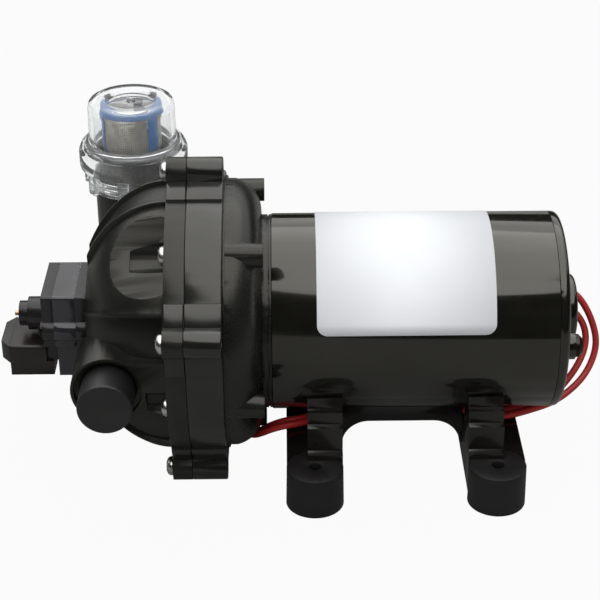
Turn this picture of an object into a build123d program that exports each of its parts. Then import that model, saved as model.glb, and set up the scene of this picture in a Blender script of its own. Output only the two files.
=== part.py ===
from build123d import *
import os
from math import cos, radians, sin, sqrt, tan

# A motor-driven diaphragm pump for a caravan or camper, in millimetres.
# X runs along the motor axis from the switch at the nose to the tail, Y across, Z up.
# The origin is the centre of the four mounting holes, on the surface that the feet stand on.

os.makedirs("parts", exist_ok=True)

# Fits
SLIP = 0.3  # between pieces that move apart
RUNNING = 0.05  # radial, between a shaft or stem and its hole
SEATED = 0.05  # between pieces of one body that nest
ROUND_SIDES = 8  # sides that stand for a round section in a lead or a sealing ring

# Motor axis and stations along it
AXIS_Z = 57.3
NOSE_X = -120.3
FLANGE_X = -88.8
RING_X = -81.4
BELL_X = -67.8
ADAPTER_X = -54.4
CAN_FRONT_X = -50.4
CAN_REAR_X = 56.4

# Five chambers
CHAMBERS = 5
PITCH = 360 / CHAMBERS
OUTER_ANGLE = 90
INNER_ANGLE = OUTER_ANGLE - PITCH / 2
OUTER_SCREW_R = 59.8
INNER_SCREW_R = 48.0
CHAMBER_R = 26.5

# Head
DOME_LENGTH = 37.0
DOME_R = 53.0
RIB_HEIGHT = 1.8
RIB_ANGLE = 2.2
RIB_SPREAD = 11.0  # from a chamber's middle to the outer side of its ribs
RECESS_R = 43.0
RECESS_LENGTH = 37.2
RECESS_END_ANGLE = 195.0
BAY_FLOOR_R = 47.0
BAY_TILT = 14.9
BAY_CURVE_R = 70.0
POCKET_R = 6.2
POCKET_LENGTH = 13.2
SHORT_POCKET_LENGTH = 8.2
FLANGE_R = 54.8
LOBE_R = 5.4
LOBE_ROOT_R = 57.4
LOBE_SHOULDER = 13.3
CENTRE_CHAMBER_R = 19.0
CENTRE_CHAMBER_DEPTH = 31.6
SUCTION_INNER_R = 22.0
SUCTION_OUTER_R = 39.5
SUCTION_DEPTH = 17.0
SEAL_R = 42.3
SEAL_WIDTH = 2.0
SEAL_DEPTH = 1.3

# Ports, on one line across the head
PORT_X = -110.8
PORT_Z = 49.5
PORT_Y = 46.0
STUB_ROOT_Y = 22.0
SOCKET_OUTER_R = 13.85
SOCKET_R = 10.5
SOCKET_DEPTH = 18.0
COUNTERBORE_R = 12.6
COUNTERBORE_DEPTH = 2.5
PASSAGE_R = 6.0
BLOCK_TOP_Z = 61.1
BLOCK_BOTTOM_Z = 43.9
BLOCK_FRONT_X = -112.0
SPIGOT_R = 10.2
ORING_SECTION_R = 0.85

# Outlet cap
CAP_FACE_Y = 59.0
CAP_DEPTH = 13.0

# Screws
SCREW_HEAD_R = 3.7
SCREW_HEAD_HEIGHT = 2.7
SCREW_SHANK_R = 2.0
SCREW_HOLE_R = 2.2

# Chamber stack, inside the middle ring
RING_BORE_R = 44.9
VALVE_PLATE_THICK = 6.0
CHAMBER_FLOOR = 2.0
CHAMBER_POCKET_R = 10.5
VALVE_OUT = 3.5
VALVE_DISC_R = 4.5
VALVE_DISC_THICK = 0.8
VALVE_STEM_R = 1.2
PORT_HOLE_R = 1.0
DELIVERY_HOLE_R = 17.3
DIAPHRAGM_THICK = 1.8
WINDOW_R = 11.2
RING_WEB = 2.8
PISTON_R = 8.3
PISTON_CAP_R = 8.0
PISTON_CAP_THICK = 2.0
PISTON_SCREW_R = 1.5
PISTON_SCREW_HEAD_R = 2.9

# Wobble drive
WOBBLE_X = -65.5
WOBBLE_THICK = 6.0
WOBBLE_TILT = 3.0
WOBBLE_HUB_R = 15.5
CAM_BEARING_R = 11.0
CAM_JOURNAL_R = 6.0
CAM_FLANGE_R = 8.0
CAM_FLANGE_THICK = 3.6
SHAFT_R = 4.0
SHAFT_FRONT_X = -70.0
SHAFT_REAR_X = 63.5

# Bell and adapter
BELL_R = 51.8
BELL_STRAIGHT = 3.8
BELL_WALL = 4.0
BELL_END_WALL = 3.0
BELL_BORE_R = 12.5
BELL_LIP_R = 52.9
BELL_LIP = 0.8
TOWER_R = 4.5
TOWER_END_X = -53.1
ADAPTER_R = 37.6
ADAPTER_GROOVE = 0.5
SPIGOT_DEPTH = 4.0
SPIGOT_WALL = 3.5

# Motor
CAN_R = 38.0
CAN_WALL = 2.0
MAGNET_INNER_R = 27.0
MAGNET_HALF_ANGLE = 68.0
MAGNET_FRONT_X = -34.0
MAGNET_REAR_X = 30.0
CORE_R = 26.3
CORE_FRONT_X = -31.0
CORE_REAR_X = 27.0
SLOTS = 12
SLOT_WIDTH = 5.0
SLOT_DEPTH = 12.0
SLOT_MOUTH = 1.6
TOOTH_TIP = 1.8
COIL_OVERHANG = 8.0
COIL_R = 23.0
COMMUTATOR_R = 11.0
COMMUTATOR_FRONT_X = 38.0
COMMUTATOR_REAR_X = 49.0
BEARING_R = 11.0
BEARING_WIDTH = 7.0
REAR_BEARING_R = 9.5
REAR_BEARING_WIDTH = 6.0
REAR_BEARING_X = 58.0

# Brush gear
CARD_X = 49.6
CARD_THICK = 2.0
CARD_BORE_R = 13.0
BRUSH_WIDTH = 4.4
BRUSH_DEPTH = 7.0
BRUSH_LENGTH = 9.0
BRUSH_GAP = 0.1
HOLDER_WALL = 1.2
HOLDER_OUTER_R = 30.0
BRUSH_SPRING_R = 1.9
BRUSH_SPRING_BORE_R = 1.3

# Tail
END_CAP_THICK = 3.8
END_CAP_EDGE = 2.2
BOSS_R = 13.5
BOSS_X = 67.0
BOSS_EDGE = 2.0
TIE_BOLT_Y = 29.0
TIE_BOLT_R = 2.0
TIE_HEAD_R = 4.35
TIE_HEAD_HEIGHT = 2.9
LUG_R = 5.2
LUG_THICK = 2.8
GROMMET_Y = 18.5
GROMMET_Z = (55.9, 47.6)
GROMMET_R = 3.1
GROMMET_STAND = 1.8

# Label
LABEL_FRONT_X = -33.6
LABEL_REAR_X = 32.6
LABEL_THICK = 0.15
LABEL_GLUE = 0.1
LABEL_START = 14.5
LABEL_SWEEP = 118.0
LABEL_CORNER = 4.0

# Stand
HOLE_SPACING_X = 69.1
HOLE_SPACING_Y = 94.2
MOUNT_HOLE_R = 2.5
LEG_HALF_WIDTH = 10.65
LEG_TOP_Z = 16.1
LEG_UNDERSIDE_Z = 2.0
SADDLE_THICK = 13.3
CRADLE_GAP = 0.2
STEP_OUT = (43.4, 40.3, 37.2, 34.2)
STEP_UP = (18.6, 28.5, 33.5, 38.0)
WEB_HALF_Y = 15.5
ARCH_TOP_Z = 15.7
ARCH_FOOT_Z = 5.5
ARCH_CORNER = 10.7
ARCH_FOOT = 0.6
CHANNEL_FLOOR_Z = 16.9
CHANNEL_INNER_Y = -7.2
CHANNEL_WEB_Y = -14.1
CHANNEL_ARM_Y = -22.6
TONGUE_HALF = 5.5
TONGUE_Z = (5.5, 10.5)
TONGUE_REACH = 6.5
BASE_SCREW_SEAT_Z = 11.0
BASE_SCREW_HEAD_R = 3.6
BASE_SCREW_R = 1.9
BASE_SCREW_TOP_Z = 21.2
FOOT_FLARE = 0.4

# Strainer
STRAINER_Y = 100.0
BODY_R = 17.3
BODY_BOTTOM_Z = 35.5
BODY_TOP_Z = 83.0
BODY_BOTTOM_EDGE = 9.0
BODY_BORE_R = 14.9
LEDGE_Z = 66.0
WELL_R = 9.0
WELL_FLOOR_Z = 42.0
FEED_R = 1.9
FEED_WALL = 0.5
NECK_BORE_R = 6.5
TAIL_R = 6.6
TAIL_BORE_R = 4.6
TAIL_END_Y = 146.0
BARB_RISE = 0.9
BARB_PITCH = 5.0
BARBS = 3
TAIL_COLLAR_R = 10.0
TAIL_COLLAR_Y = 122.0
NUT_R = 16.0
NUT_LENGTH = 12.0
NUT_NOSE_R = 12.3
NUT_RIBS = 20

# Bowl
BOWL_TOP_Z = 106.7
BOWL_ROOF = 2.4
BOWL_R = 18.6
BOWL_WALL = 2.2
BOWL_NECK_Z = 88.0
BOWL_SHOULDER_R = 22.0
BOWL_FLANGE_R = 23.5
BOWL_FLANGE_TOP_Z = 84.0
BOWL_FLANGE_BOTTOM_Z = 76.0
SKIRT_R = 20.2
SKIRT_BORE_R = 17.7
SKIRT_BOTTOM_Z = 67.0
BOWL_EDGE = 2.6
CROWN_RECESS_R = 9.8
CROWN_RECESS = 1.1
EARS = 6
EAR_R = 1.8
BOWL_ORING_R = 19.9
BOWL_ORING_THICK = 2.2

# Basket
BASKET_R = 13.0
BASKET_TOP_Z = 104.0
BASKET_RING = 3.2
BASKET_FOOT_Z = 60.0
BASKET_FOOT_TOP_Z = 69.5
BASKET_STRIPS = 3
BASKET_STRIP_ANGLE = 60.0
MESH_R = 12.3
MESH_THICK = 0.35
BASKET_WALL = 0.65

# Pressure switch, on the nose
SWITCH_HALF_Y = 15.0
SWITCH_HALF_Z = 14.75
SWITCH_CORNER = 1.2
SHOULDER_DROP = 7.3
SWITCH_LUG_Y = 13.1
SWITCH_LUG_R = 4.4
BACK_PLATE_THICK = 4.7
SWITCH_BODY_DEPTH = 8.4
SWITCH_COVER_THICK = 4.4
BACK_PLATE_X = NOSE_X - BACK_PLATE_THICK
SWITCH_BODY_X = BACK_PLATE_X - SWITCH_BODY_DEPTH
SWITCH_COVER_X = SWITCH_BODY_X - SWITCH_COVER_THICK
TAB_BOTTOM_Z = 35.5
TAB_HALF_Y = 11.0
BUTTON_DROP = 10.5
SWITCH_DIAPHRAGM_R = 11.0
SWITCH_DIAPHRAGM_THICK = 1.2
PLUNGER_HEAD_R = 8.0
PLUNGER_HEAD_THICK = 2.5
PLUNGER_STEM_R = 2.9
PLUNGER_STROKE = 0.8
PLUNGER_PIN_R = 1.2
PLUNGER_ARM_HALF = 2.0
STEM_LENGTH = 11.0
STEM_END_X = BACK_PLATE_X - STEM_LENGTH
BOSS_BASE_R = 6.5
BOSS_BASE_LENGTH = 7.1
BOSS_BASE_X = SWITCH_COVER_X - BOSS_BASE_LENGTH
BOSS_TIP_R = 4.9
BOSS_TIP_LENGTH = 3.5
BOSS_TIP_X = BOSS_BASE_X - BOSS_TIP_LENGTH
ADJUSTER_R = 3.65
ADJUSTER_SUNK = 1.0
ADJUSTER_LENGTH = 3.9
ADJUSTER_FRONT_X = BOSS_TIP_X + ADJUSTER_SUNK
ADJUSTER_REAR_X = ADJUSTER_FRONT_X + ADJUSTER_LENGTH
ADJUSTER_TIP_R = 0.9
ADJUSTER_TIP_LENGTH = 3.0
ADJUSTER_TIP_X = ADJUSTER_FRONT_X - ADJUSTER_TIP_LENGTH
SWITCH_SPRING_R = 3.3
SWITCH_SPRING_BORE_R = 2.4
SWITCH_SCREW_R = 1.6
SWITCH_SCREW_HEAD_R = 3.2
SWITCH_SCREW_HEAD = 1.8
SWITCH_SCREW_BITE = 5.8
SWITCH_SCREW_END_X = NOSE_X + SWITCH_SCREW_BITE
MICRO_DEPTH = 14.1
MICRO_FOOT_BACK = 2.6
MICRO_X = SWITCH_COVER_X - MICRO_DEPTH
MICRO_FOOT_X = SWITCH_COVER_X + MICRO_FOOT_BACK
MICRO_HALF_Y = 12.0
MICRO_BOTTOM_Z = 36.5
MICRO_TOP_Z = 49.2
MICRO_EDGE = 1.4
COVER_DEPTH = 3.7
COVER_X = MICRO_X - COVER_DEPTH
COVER_BOTTOM_Z = 41.6
COVER_HALF_Y = 12.0
COVER_NOSE_HALF_Y = 7.4
SLEEVE_X = -142.0
SLEEVE_Z = (46.0, 40.4)
SLEEVE_LENGTH = 14.0
SLEEVE_WIDTH = 7.0
SLEEVE_HEIGHT = 4.0

# Leads
LEAD_R = 1.35
ROUTE_SHARE = 0.45

motor_axis = Axis((0, 0, AXIS_Z), (1, 0, 0))
port_axis = Axis((PORT_X, 0, PORT_Z), (0, 1, 0))
strainer_axis = Axis((PORT_X, STRAINER_Y, 0), (0, 0, 1))


def station(x):
    """A plane across the motor axis: its sketch has Y to the right and Z up, and grows towards +X."""
    return Plane(origin=(x, 0, AXIS_Z), x_dir=(0, 1, 0), z_dir=(1, 0, 0))


def half_plane(angle=90):
    """A plane through the motor axis: its sketch has X to the right and the radius up."""
    turn = radians(angle)
    return Plane(origin=(0, 0, AXIS_Z), x_dir=(1, 0, 0), z_dir=(0, -sin(turn), cos(turn)))


def across(y):
    """A plane across the port axis: its sketch has X to the right and Z up, and grows towards -Y."""
    return Plane(origin=(PORT_X, y, PORT_Z), x_dir=(1, 0, 0), z_dir=(0, -1, 0))


port_half_plane = Plane(origin=(PORT_X, 0, PORT_Z), x_dir=(0, 1, 0), z_dir=(1, 0, 0))
strainer_half_plane = Plane(origin=(PORT_X, STRAINER_Y, 0), x_dir=(1, 0, 0), z_dir=(0, -1, 0))


def level(z):
    """A plane across the strainer's own axis."""
    return Plane(origin=(PORT_X, STRAINER_Y, z))


def finish(builder, name):
    """Name a finished piece and write it."""
    builder.part.label = name
    export_step(builder.part, f"parts/{name}.step")


def lobed_outline():
    """The flange's outline: a circle with a shouldered lobe for each outer screw."""
    Circle(FLANGE_R)
    shoulder = sqrt(FLANGE_R**2 - LOBE_SHOULDER**2)
    with PolarLocations(0, CHAMBERS, start_angle=OUTER_ANGLE):
        Polygon(
            (0, 0),
            (shoulder, -LOBE_SHOULDER),
            (LOBE_ROOT_R, -LOBE_R),
            (OUTER_SCREW_R, -LOBE_R),
            (OUTER_SCREW_R, LOBE_R),
            (LOBE_ROOT_R, LOBE_R),
            (shoulder, LOBE_SHOULDER),
            align=None,
        )
    with PolarLocations(OUTER_SCREW_R, CHAMBERS, start_angle=OUTER_ANGLE):
        Circle(LOBE_R)


def screw_spots(radius, angle):
    """One place for each chamber on a circle about the motor axis."""
    return PolarLocations(radius, CHAMBERS, start_angle=angle)


def dome_profile(length, radius):
    """Half of the dome's outline: an ellipse between the nose and the flange."""
    with Locations((FLANGE_X, 0)):
        Ellipse(length, radius)
    with Locations((NOSE_X, 0)):
        Rectangle(FLANGE_X - NOSE_X, DOME_R, align=(Align.MIN, Align.MIN), mode=Mode.INTERSECT)


def ring_profile(radius, section, height):
    """An eight-sided section at a radius and height, for a ring."""
    with Locations((radius, height)):
        RegularPolygon(section, ROUND_SIDES)


# The front housing: a dome with a pair of ribs towards each lobe, scooped bays between the pairs, a
# deeper recess over each port socket, and the delivery chamber inside the ring of suction space.
with BuildPart() as front_housing:
    with BuildSketch(half_plane()):
        dome_profile(DOME_LENGTH - RIB_HEIGHT, DOME_R - RIB_HEIGHT)
    revolve(axis=motor_axis)
    for chamber in range(CHAMBERS):
        middle = OUTER_ANGLE + PITCH * chamber
        for start in (middle - RIB_SPREAD, middle + RIB_SPREAD - RIB_ANGLE):
            with BuildSketch(half_plane(start)):
                dome_profile(DOME_LENGTH, DOME_R)
            revolve(axis=motor_axis, revolution_arc=RIB_ANGLE)
    recess_start = OUTER_ANGLE + PITCH - RIB_SPREAD + RIB_ANGLE
    recess_sweep = RECESS_END_ANGLE - recess_start
    for start in (recess_start, 180 - RECESS_END_ANGLE):
        with BuildSketch(half_plane(start)):
            with Locations((NOSE_X, 0)):
                Rectangle(FLANGE_X - NOSE_X, DOME_R + RIB_HEIGHT, align=(Align.MIN, Align.MIN))
            with Locations((FLANGE_X, 0)):
                Ellipse(RECESS_LENGTH, RECESS_R, mode=Mode.SUBTRACT)
        revolve(axis=motor_axis, revolution_arc=recess_sweep, mode=Mode.SUBTRACT)
    for chamber in range(CHAMBERS):
        turn = radians(INNER_ANGLE + PITCH * chamber)
        tilt = radians(BAY_TILT)
        centre_r = BAY_FLOOR_R + BAY_CURVE_R * cos(tilt)
        centre = Vector(FLANGE_X - BAY_CURVE_R * sin(tilt), centre_r * cos(turn), AXIS_Z + centre_r * sin(turn))
        run = Vector(-cos(tilt), -sin(tilt) * cos(turn), -sin(tilt) * sin(turn))
        with BuildSketch(Plane(origin=centre, z_dir=run)):
            Circle(BAY_CURVE_R)
        extrude(amount=DOME_R, both=True, mode=Mode.SUBTRACT)
    with BuildSketch(across(PORT_Y)):
        Circle(SOCKET_OUTER_R)
        with Locations((BLOCK_FRONT_X - PORT_X, BLOCK_BOTTOM_Z - PORT_Z)):
            Rectangle(FLANGE_X - BLOCK_FRONT_X, BLOCK_TOP_Z - BLOCK_BOTTOM_Z, align=(Align.MIN, Align.MIN))
    extrude(amount=PORT_Y - STUB_ROOT_Y)
    with BuildSketch(across(-STUB_ROOT_Y)):
        Circle(SOCKET_OUTER_R)
        with Locations((BLOCK_FRONT_X - PORT_X, BLOCK_BOTTOM_Z - PORT_Z)):
            Rectangle(FLANGE_X - BLOCK_FRONT_X, BLOCK_TOP_Z - BLOCK_BOTTOM_Z, align=(Align.MIN, Align.MIN))
    extrude(amount=PORT_Y - STUB_ROOT_Y)
    for chamber in range(CHAMBERS):
        beside_port = chamber in (2, 4)
        with BuildSketch(station(FLANGE_X)):
            with PolarLocations(INNER_SCREW_R, 1, start_angle=INNER_ANGLE + PITCH * chamber):
                Circle(POCKET_R)
        extrude(amount=-(SHORT_POCKET_LENGTH if beside_port else POCKET_LENGTH), mode=Mode.SUBTRACT)
    with BuildSketch(station(FLANGE_X)):
        lobed_outline()
    extrude(amount=RING_X - FLANGE_X)
    with BuildSketch(station(RING_X)):
        Circle(CENTRE_CHAMBER_R)
    extrude(amount=-CENTRE_CHAMBER_DEPTH, mode=Mode.SUBTRACT)
    with BuildSketch(station(RING_X)):
        Circle(SUCTION_OUTER_R)
        Circle(SUCTION_INNER_R, mode=Mode.SUBTRACT)
    extrude(amount=-SUCTION_DEPTH, mode=Mode.SUBTRACT)
    with BuildSketch(station(RING_X)):
        Circle(SEAL_R + SEAL_WIDTH / 2)
        Circle(SEAL_R - SEAL_WIDTH / 2, mode=Mode.SUBTRACT)
    extrude(amount=-SEAL_DEPTH, mode=Mode.SUBTRACT)
    with BuildSketch(station(RING_X)):
        with screw_spots(OUTER_SCREW_R, OUTER_ANGLE):
            Circle(SCREW_HOLE_R)
        with screw_spots(INNER_SCREW_R, INNER_ANGLE):
            Circle(SCREW_HOLE_R)
    extrude(amount=FLANGE_X - RING_X, mode=Mode.SUBTRACT)
    for side in (-1, 1):
        with BuildSketch(across(side * PORT_Y)):
            Circle(COUNTERBORE_R)
        extrude(amount=side * COUNTERBORE_DEPTH, mode=Mode.SUBTRACT)
        with BuildSketch(across(side * PORT_Y)):
            Circle(SOCKET_R)
        extrude(amount=side * SOCKET_DEPTH, mode=Mode.SUBTRACT)
    with BuildSketch(across(SOCKET_DEPTH - PORT_Y)):
        Circle(PASSAGE_R)
    extrude(amount=-(PORT_Y - SOCKET_DEPTH - CENTRE_CHAMBER_R / 2), mode=Mode.SUBTRACT)
    elbow_y = PORT_Y - SOCKET_DEPTH - 1
    elbow_plane = Plane(origin=(PORT_X, elbow_y, PORT_Z), x_dir=(0, 1, 0), z_dir=(1, 0, 0))
    with BuildSketch(elbow_plane):
        Circle(PASSAGE_R)
    extrude(amount=RING_X - SUCTION_DEPTH - PORT_X + 1, mode=Mode.SUBTRACT)
    with BuildSketch(station(NOSE_X)):
        Circle(SCREW_SHANK_R)
    extrude(amount=RING_X - CENTRE_CHAMBER_DEPTH - NOSE_X, mode=Mode.SUBTRACT)
    with BuildSketch(station(NOSE_X)):
        with Locations((SWITCH_LUG_Y, 0), (-SWITCH_LUG_Y, 0)):
            Circle(SWITCH_SCREW_R + SEATED)
    extrude(amount=SWITCH_SCREW_END_X - NOSE_X + 1, mode=Mode.SUBTRACT)
finish(front_housing, "front_housing")

with BuildPart() as housing_seal:
    with BuildSketch(station(RING_X)):
        Circle(SEAL_R + SEAL_WIDTH / 2 - SEATED)
        Circle(SEAL_R - SEAL_WIDTH / 2 + SEATED, mode=Mode.SUBTRACT)
    extrude(amount=-(SEAL_DEPTH - SEATED))
finish(housing_seal, "housing_seal")

# The middle ring holds the valve plate and the diaphragm, and its web has a window for each piston.
web_x = RING_X + VALVE_PLATE_THICK + DIAPHRAGM_THICK
with BuildPart() as middle_ring:
    with BuildSketch(station(RING_X)):
        lobed_outline()
        Circle(RING_BORE_R, mode=Mode.SUBTRACT)
        with screw_spots(INNER_SCREW_R, INNER_ANGLE):
            Circle(SCREW_HOLE_R, mode=Mode.SUBTRACT)
        with screw_spots(OUTER_SCREW_R, OUTER_ANGLE):
            Circle(SCREW_SHANK_R + SEATED, mode=Mode.SUBTRACT)
    extrude(amount=BELL_X - RING_X)
    with BuildSketch(station(web_x)):
        Circle(RING_BORE_R)
        Circle(CAM_BEARING_R, mode=Mode.SUBTRACT)
        with screw_spots(CHAMBER_R, OUTER_ANGLE):
            Circle(WINDOW_R, mode=Mode.SUBTRACT)
    extrude(amount=RING_WEB)
finish(middle_ring, "middle_ring")


def screws(builder, plane, spots, head, height, shank, length):
    """Pan-head screws whose heads stand on a plane, with their shanks going down from it."""
    with BuildSketch(plane) as heads:
        with spots:
            Circle(head)
    extrude(heads.sketch, amount=height)
    top = builder.faces().filter_by(Axis((0, 0, 0), plane.z_dir)).group_by(Axis((0, 0, 0), plane.z_dir))[-1]
    chamfer(top.edges(), height / 2)
    with BuildSketch(plane) as shanks:
        with spots:
            Circle(shank)
    extrude(shanks.sketch, amount=-length)


def facing_nose(x):
    """A plane across the motor axis that grows towards the nose."""
    return Plane(origin=(x, 0, AXIS_Z), x_dir=(0, -1, 0), z_dir=(-1, 0, 0))


outer_length = BELL_X - FLANGE_X - 1.5
inner_length = TOWER_END_X - FLANGE_X - 3.5
with BuildPart() as outer_screws:
    spots = screw_spots(OUTER_SCREW_R, OUTER_ANGLE)
    screws(outer_screws, facing_nose(FLANGE_X), spots, SCREW_HEAD_R, SCREW_HEAD_HEIGHT, SCREW_SHANK_R, outer_length)
finish(outer_screws, "outer_screws")
with BuildPart() as inner_screws:
    spots = screw_spots(INNER_SCREW_R, INNER_ANGLE)
    screws(inner_screws, facing_nose(FLANGE_X), spots, SCREW_HEAD_R, SCREW_HEAD_HEIGHT, SCREW_SHANK_R, inner_length)
finish(inner_screws, "inner_screws")

# The valve plate has a chamber pocket for each piston, its inlet valve towards the rim and its
# delivery hole towards the centre.
valve_back_x = RING_X + VALVE_PLATE_THICK
pocket_floor_x = RING_X + CHAMBER_FLOOR
with BuildPart() as valve_plate:
    with BuildSketch(station(RING_X)):
        Circle(RING_BORE_R - SEATED)
    extrude(amount=VALVE_PLATE_THICK)
    with BuildSketch(station(valve_back_x)):
        with screw_spots(CHAMBER_R, OUTER_ANGLE):
            Circle(CHAMBER_POCKET_R)
    extrude(amount=CHAMBER_FLOOR - VALVE_PLATE_THICK, mode=Mode.SUBTRACT)
    with BuildSketch(station(RING_X)):
        Circle(VALVE_STEM_R + SEATED)
        with screw_spots(CHAMBER_R + VALVE_OUT, OUTER_ANGLE):
            Circle(VALVE_STEM_R + SEATED)
            with PolarLocations(VALVE_DISC_R - PORT_HOLE_R - 1, 4, start_angle=45):
                Circle(PORT_HOLE_R)
        with screw_spots(DELIVERY_HOLE_R, OUTER_ANGLE):
            Circle(PORT_HOLE_R)
    extrude(amount=VALVE_PLATE_THICK, mode=Mode.SUBTRACT)
finish(valve_plate, "valve_plate")

with BuildPart() as inlet_valves:
    with BuildSketch(station(pocket_floor_x)):
        with screw_spots(CHAMBER_R + VALVE_OUT, OUTER_ANGLE):
            Circle(VALVE_DISC_R)
    extrude(amount=VALVE_DISC_THICK)
    with BuildSketch(station(pocket_floor_x)):
        with screw_spots(CHAMBER_R + VALVE_OUT, OUTER_ANGLE):
            Circle(VALVE_STEM_R)
    extrude(amount=-CHAMBER_FLOOR - VALVE_DISC_THICK)
finish(inlet_valves, "inlet_valves")

with BuildPart() as outlet_valve:
    with BuildSketch(station(RING_X)):
        Circle(CENTRE_CHAMBER_R - SLIP)
    extrude(amount=-VALVE_DISC_THICK)
    with BuildSketch(station(RING_X)):
        Circle(VALVE_STEM_R)
    extrude(amount=VALVE_PLATE_THICK)
finish(outlet_valve, "outlet_valve")

with BuildPart() as diaphragm:
    with BuildSketch(station(valve_back_x)):
        Circle(RING_BORE_R - SEATED)
        with screw_spots(CHAMBER_R, OUTER_ANGLE):
            Circle(PISTON_SCREW_R + SEATED, mode=Mode.SUBTRACT)
    extrude(amount=DIAPHRAGM_THICK)
finish(diaphragm, "diaphragm")

with BuildPart() as piston_caps:
    with BuildSketch(station(valve_back_x)):
        with screw_spots(CHAMBER_R, OUTER_ANGLE):
            Circle(PISTON_CAP_R)
            Circle(PISTON_SCREW_R + SEATED, mode=Mode.SUBTRACT)
    extrude(amount=-PISTON_CAP_THICK)
    with BuildSketch(station(valve_back_x - PISTON_CAP_THICK)):
        with screw_spots(CHAMBER_R, OUTER_ANGLE):
            Circle(PISTON_SCREW_HEAD_R + SEATED)
    extrude(amount=PISTON_CAP_THICK / 2, mode=Mode.SUBTRACT)
finish(piston_caps, "piston_caps")

wobble_front_x = WOBBLE_X - WOBBLE_THICK / 2
with BuildPart() as pistons:
    with BuildSketch(station(web_x)):
        with screw_spots(CHAMBER_R, OUTER_ANGLE):
            Circle(PISTON_R)
            Circle(PISTON_SCREW_R + SEATED, mode=Mode.SUBTRACT)
    extrude(amount=wobble_front_x - web_x)
finish(pistons, "pistons")

with BuildPart() as piston_screws:
    with BuildSketch(station(valve_back_x - PISTON_CAP_THICK)):
        with screw_spots(CHAMBER_R, OUTER_ANGLE):
            Circle(PISTON_SCREW_HEAD_R)
    extrude(amount=PISTON_CAP_THICK / 2)
    with BuildSketch(station(valve_back_x - PISTON_CAP_THICK / 2)):
        with screw_spots(CHAMBER_R, OUTER_ANGLE):
            Circle(PISTON_SCREW_R)
    extrude(amount=wobble_front_x + WOBBLE_THICK * 0.6 - valve_back_x + PISTON_CAP_THICK / 2)
finish(piston_screws, "piston_screws")

# The wobble plate rocks the pistons in turn. It is drawn level, between its extremes, with a bore
# that leaves room for the tilted bearing to turn in.
wobble_bore_r = CAM_BEARING_R + WOBBLE_THICK / 2 * sin(radians(WOBBLE_TILT)) + SLIP
with BuildPart() as wobble_plate:
    with BuildSketch(station(wobble_front_x)):
        Circle(WOBBLE_HUB_R)
        with screw_spots(CHAMBER_R, OUTER_ANGLE):
            Circle(PISTON_R)
        with PolarLocations(0, CHAMBERS, start_angle=OUTER_ANGLE):
            Polygon((0, -PISTON_R), (CHAMBER_R, -PISTON_R / 2), (CHAMBER_R, PISTON_R / 2), (0, PISTON_R), align=None)
        Circle(wobble_bore_r, mode=Mode.SUBTRACT)
    extrude(amount=WOBBLE_THICK)
    with BuildSketch(station(wobble_front_x)):
        with screw_spots(CHAMBER_R, OUTER_ANGLE):
            Circle(PISTON_SCREW_R + SEATED)
    extrude(amount=WOBBLE_THICK * 0.7, mode=Mode.SUBTRACT)
finish(wobble_plate, "wobble_plate")

tilted = Plane(
    origin=(WOBBLE_X, 0, AXIS_Z),
    x_dir=(0, 1, 0),
    z_dir=(cos(radians(WOBBLE_TILT)), 0, sin(radians(WOBBLE_TILT))),
)
cam_flange_x = WOBBLE_X + WOBBLE_THICK / 2 + 1.0
with BuildPart() as cam_bearing:
    with BuildSketch(tilted):
        Circle(CAM_BEARING_R)
        Circle(CAM_JOURNAL_R, mode=Mode.SUBTRACT)
    extrude(amount=WOBBLE_THICK / 2, both=True)
finish(cam_bearing, "cam_bearing")

with BuildPart() as cam_hub:
    with BuildSketch(tilted):
        Circle(CAM_JOURNAL_R)
    extrude(amount=WOBBLE_THICK / 2, both=True)
    with BuildSketch(tilted.offset(WOBBLE_THICK / 2)):
        Circle(CAM_JOURNAL_R + 1.5)
    extrude(amount=1.5)
    with BuildSketch(station(cam_flange_x)):
        Circle(CAM_FLANGE_R)
    extrude(amount=CAM_FLANGE_THICK)
    with BuildSketch(station(SHAFT_FRONT_X)):
        Circle(SHAFT_R)
    extrude(amount=cam_flange_x + CAM_FLANGE_THICK - SHAFT_FRONT_X, mode=Mode.SUBTRACT)
finish(cam_hub, "cam_hub")

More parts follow.
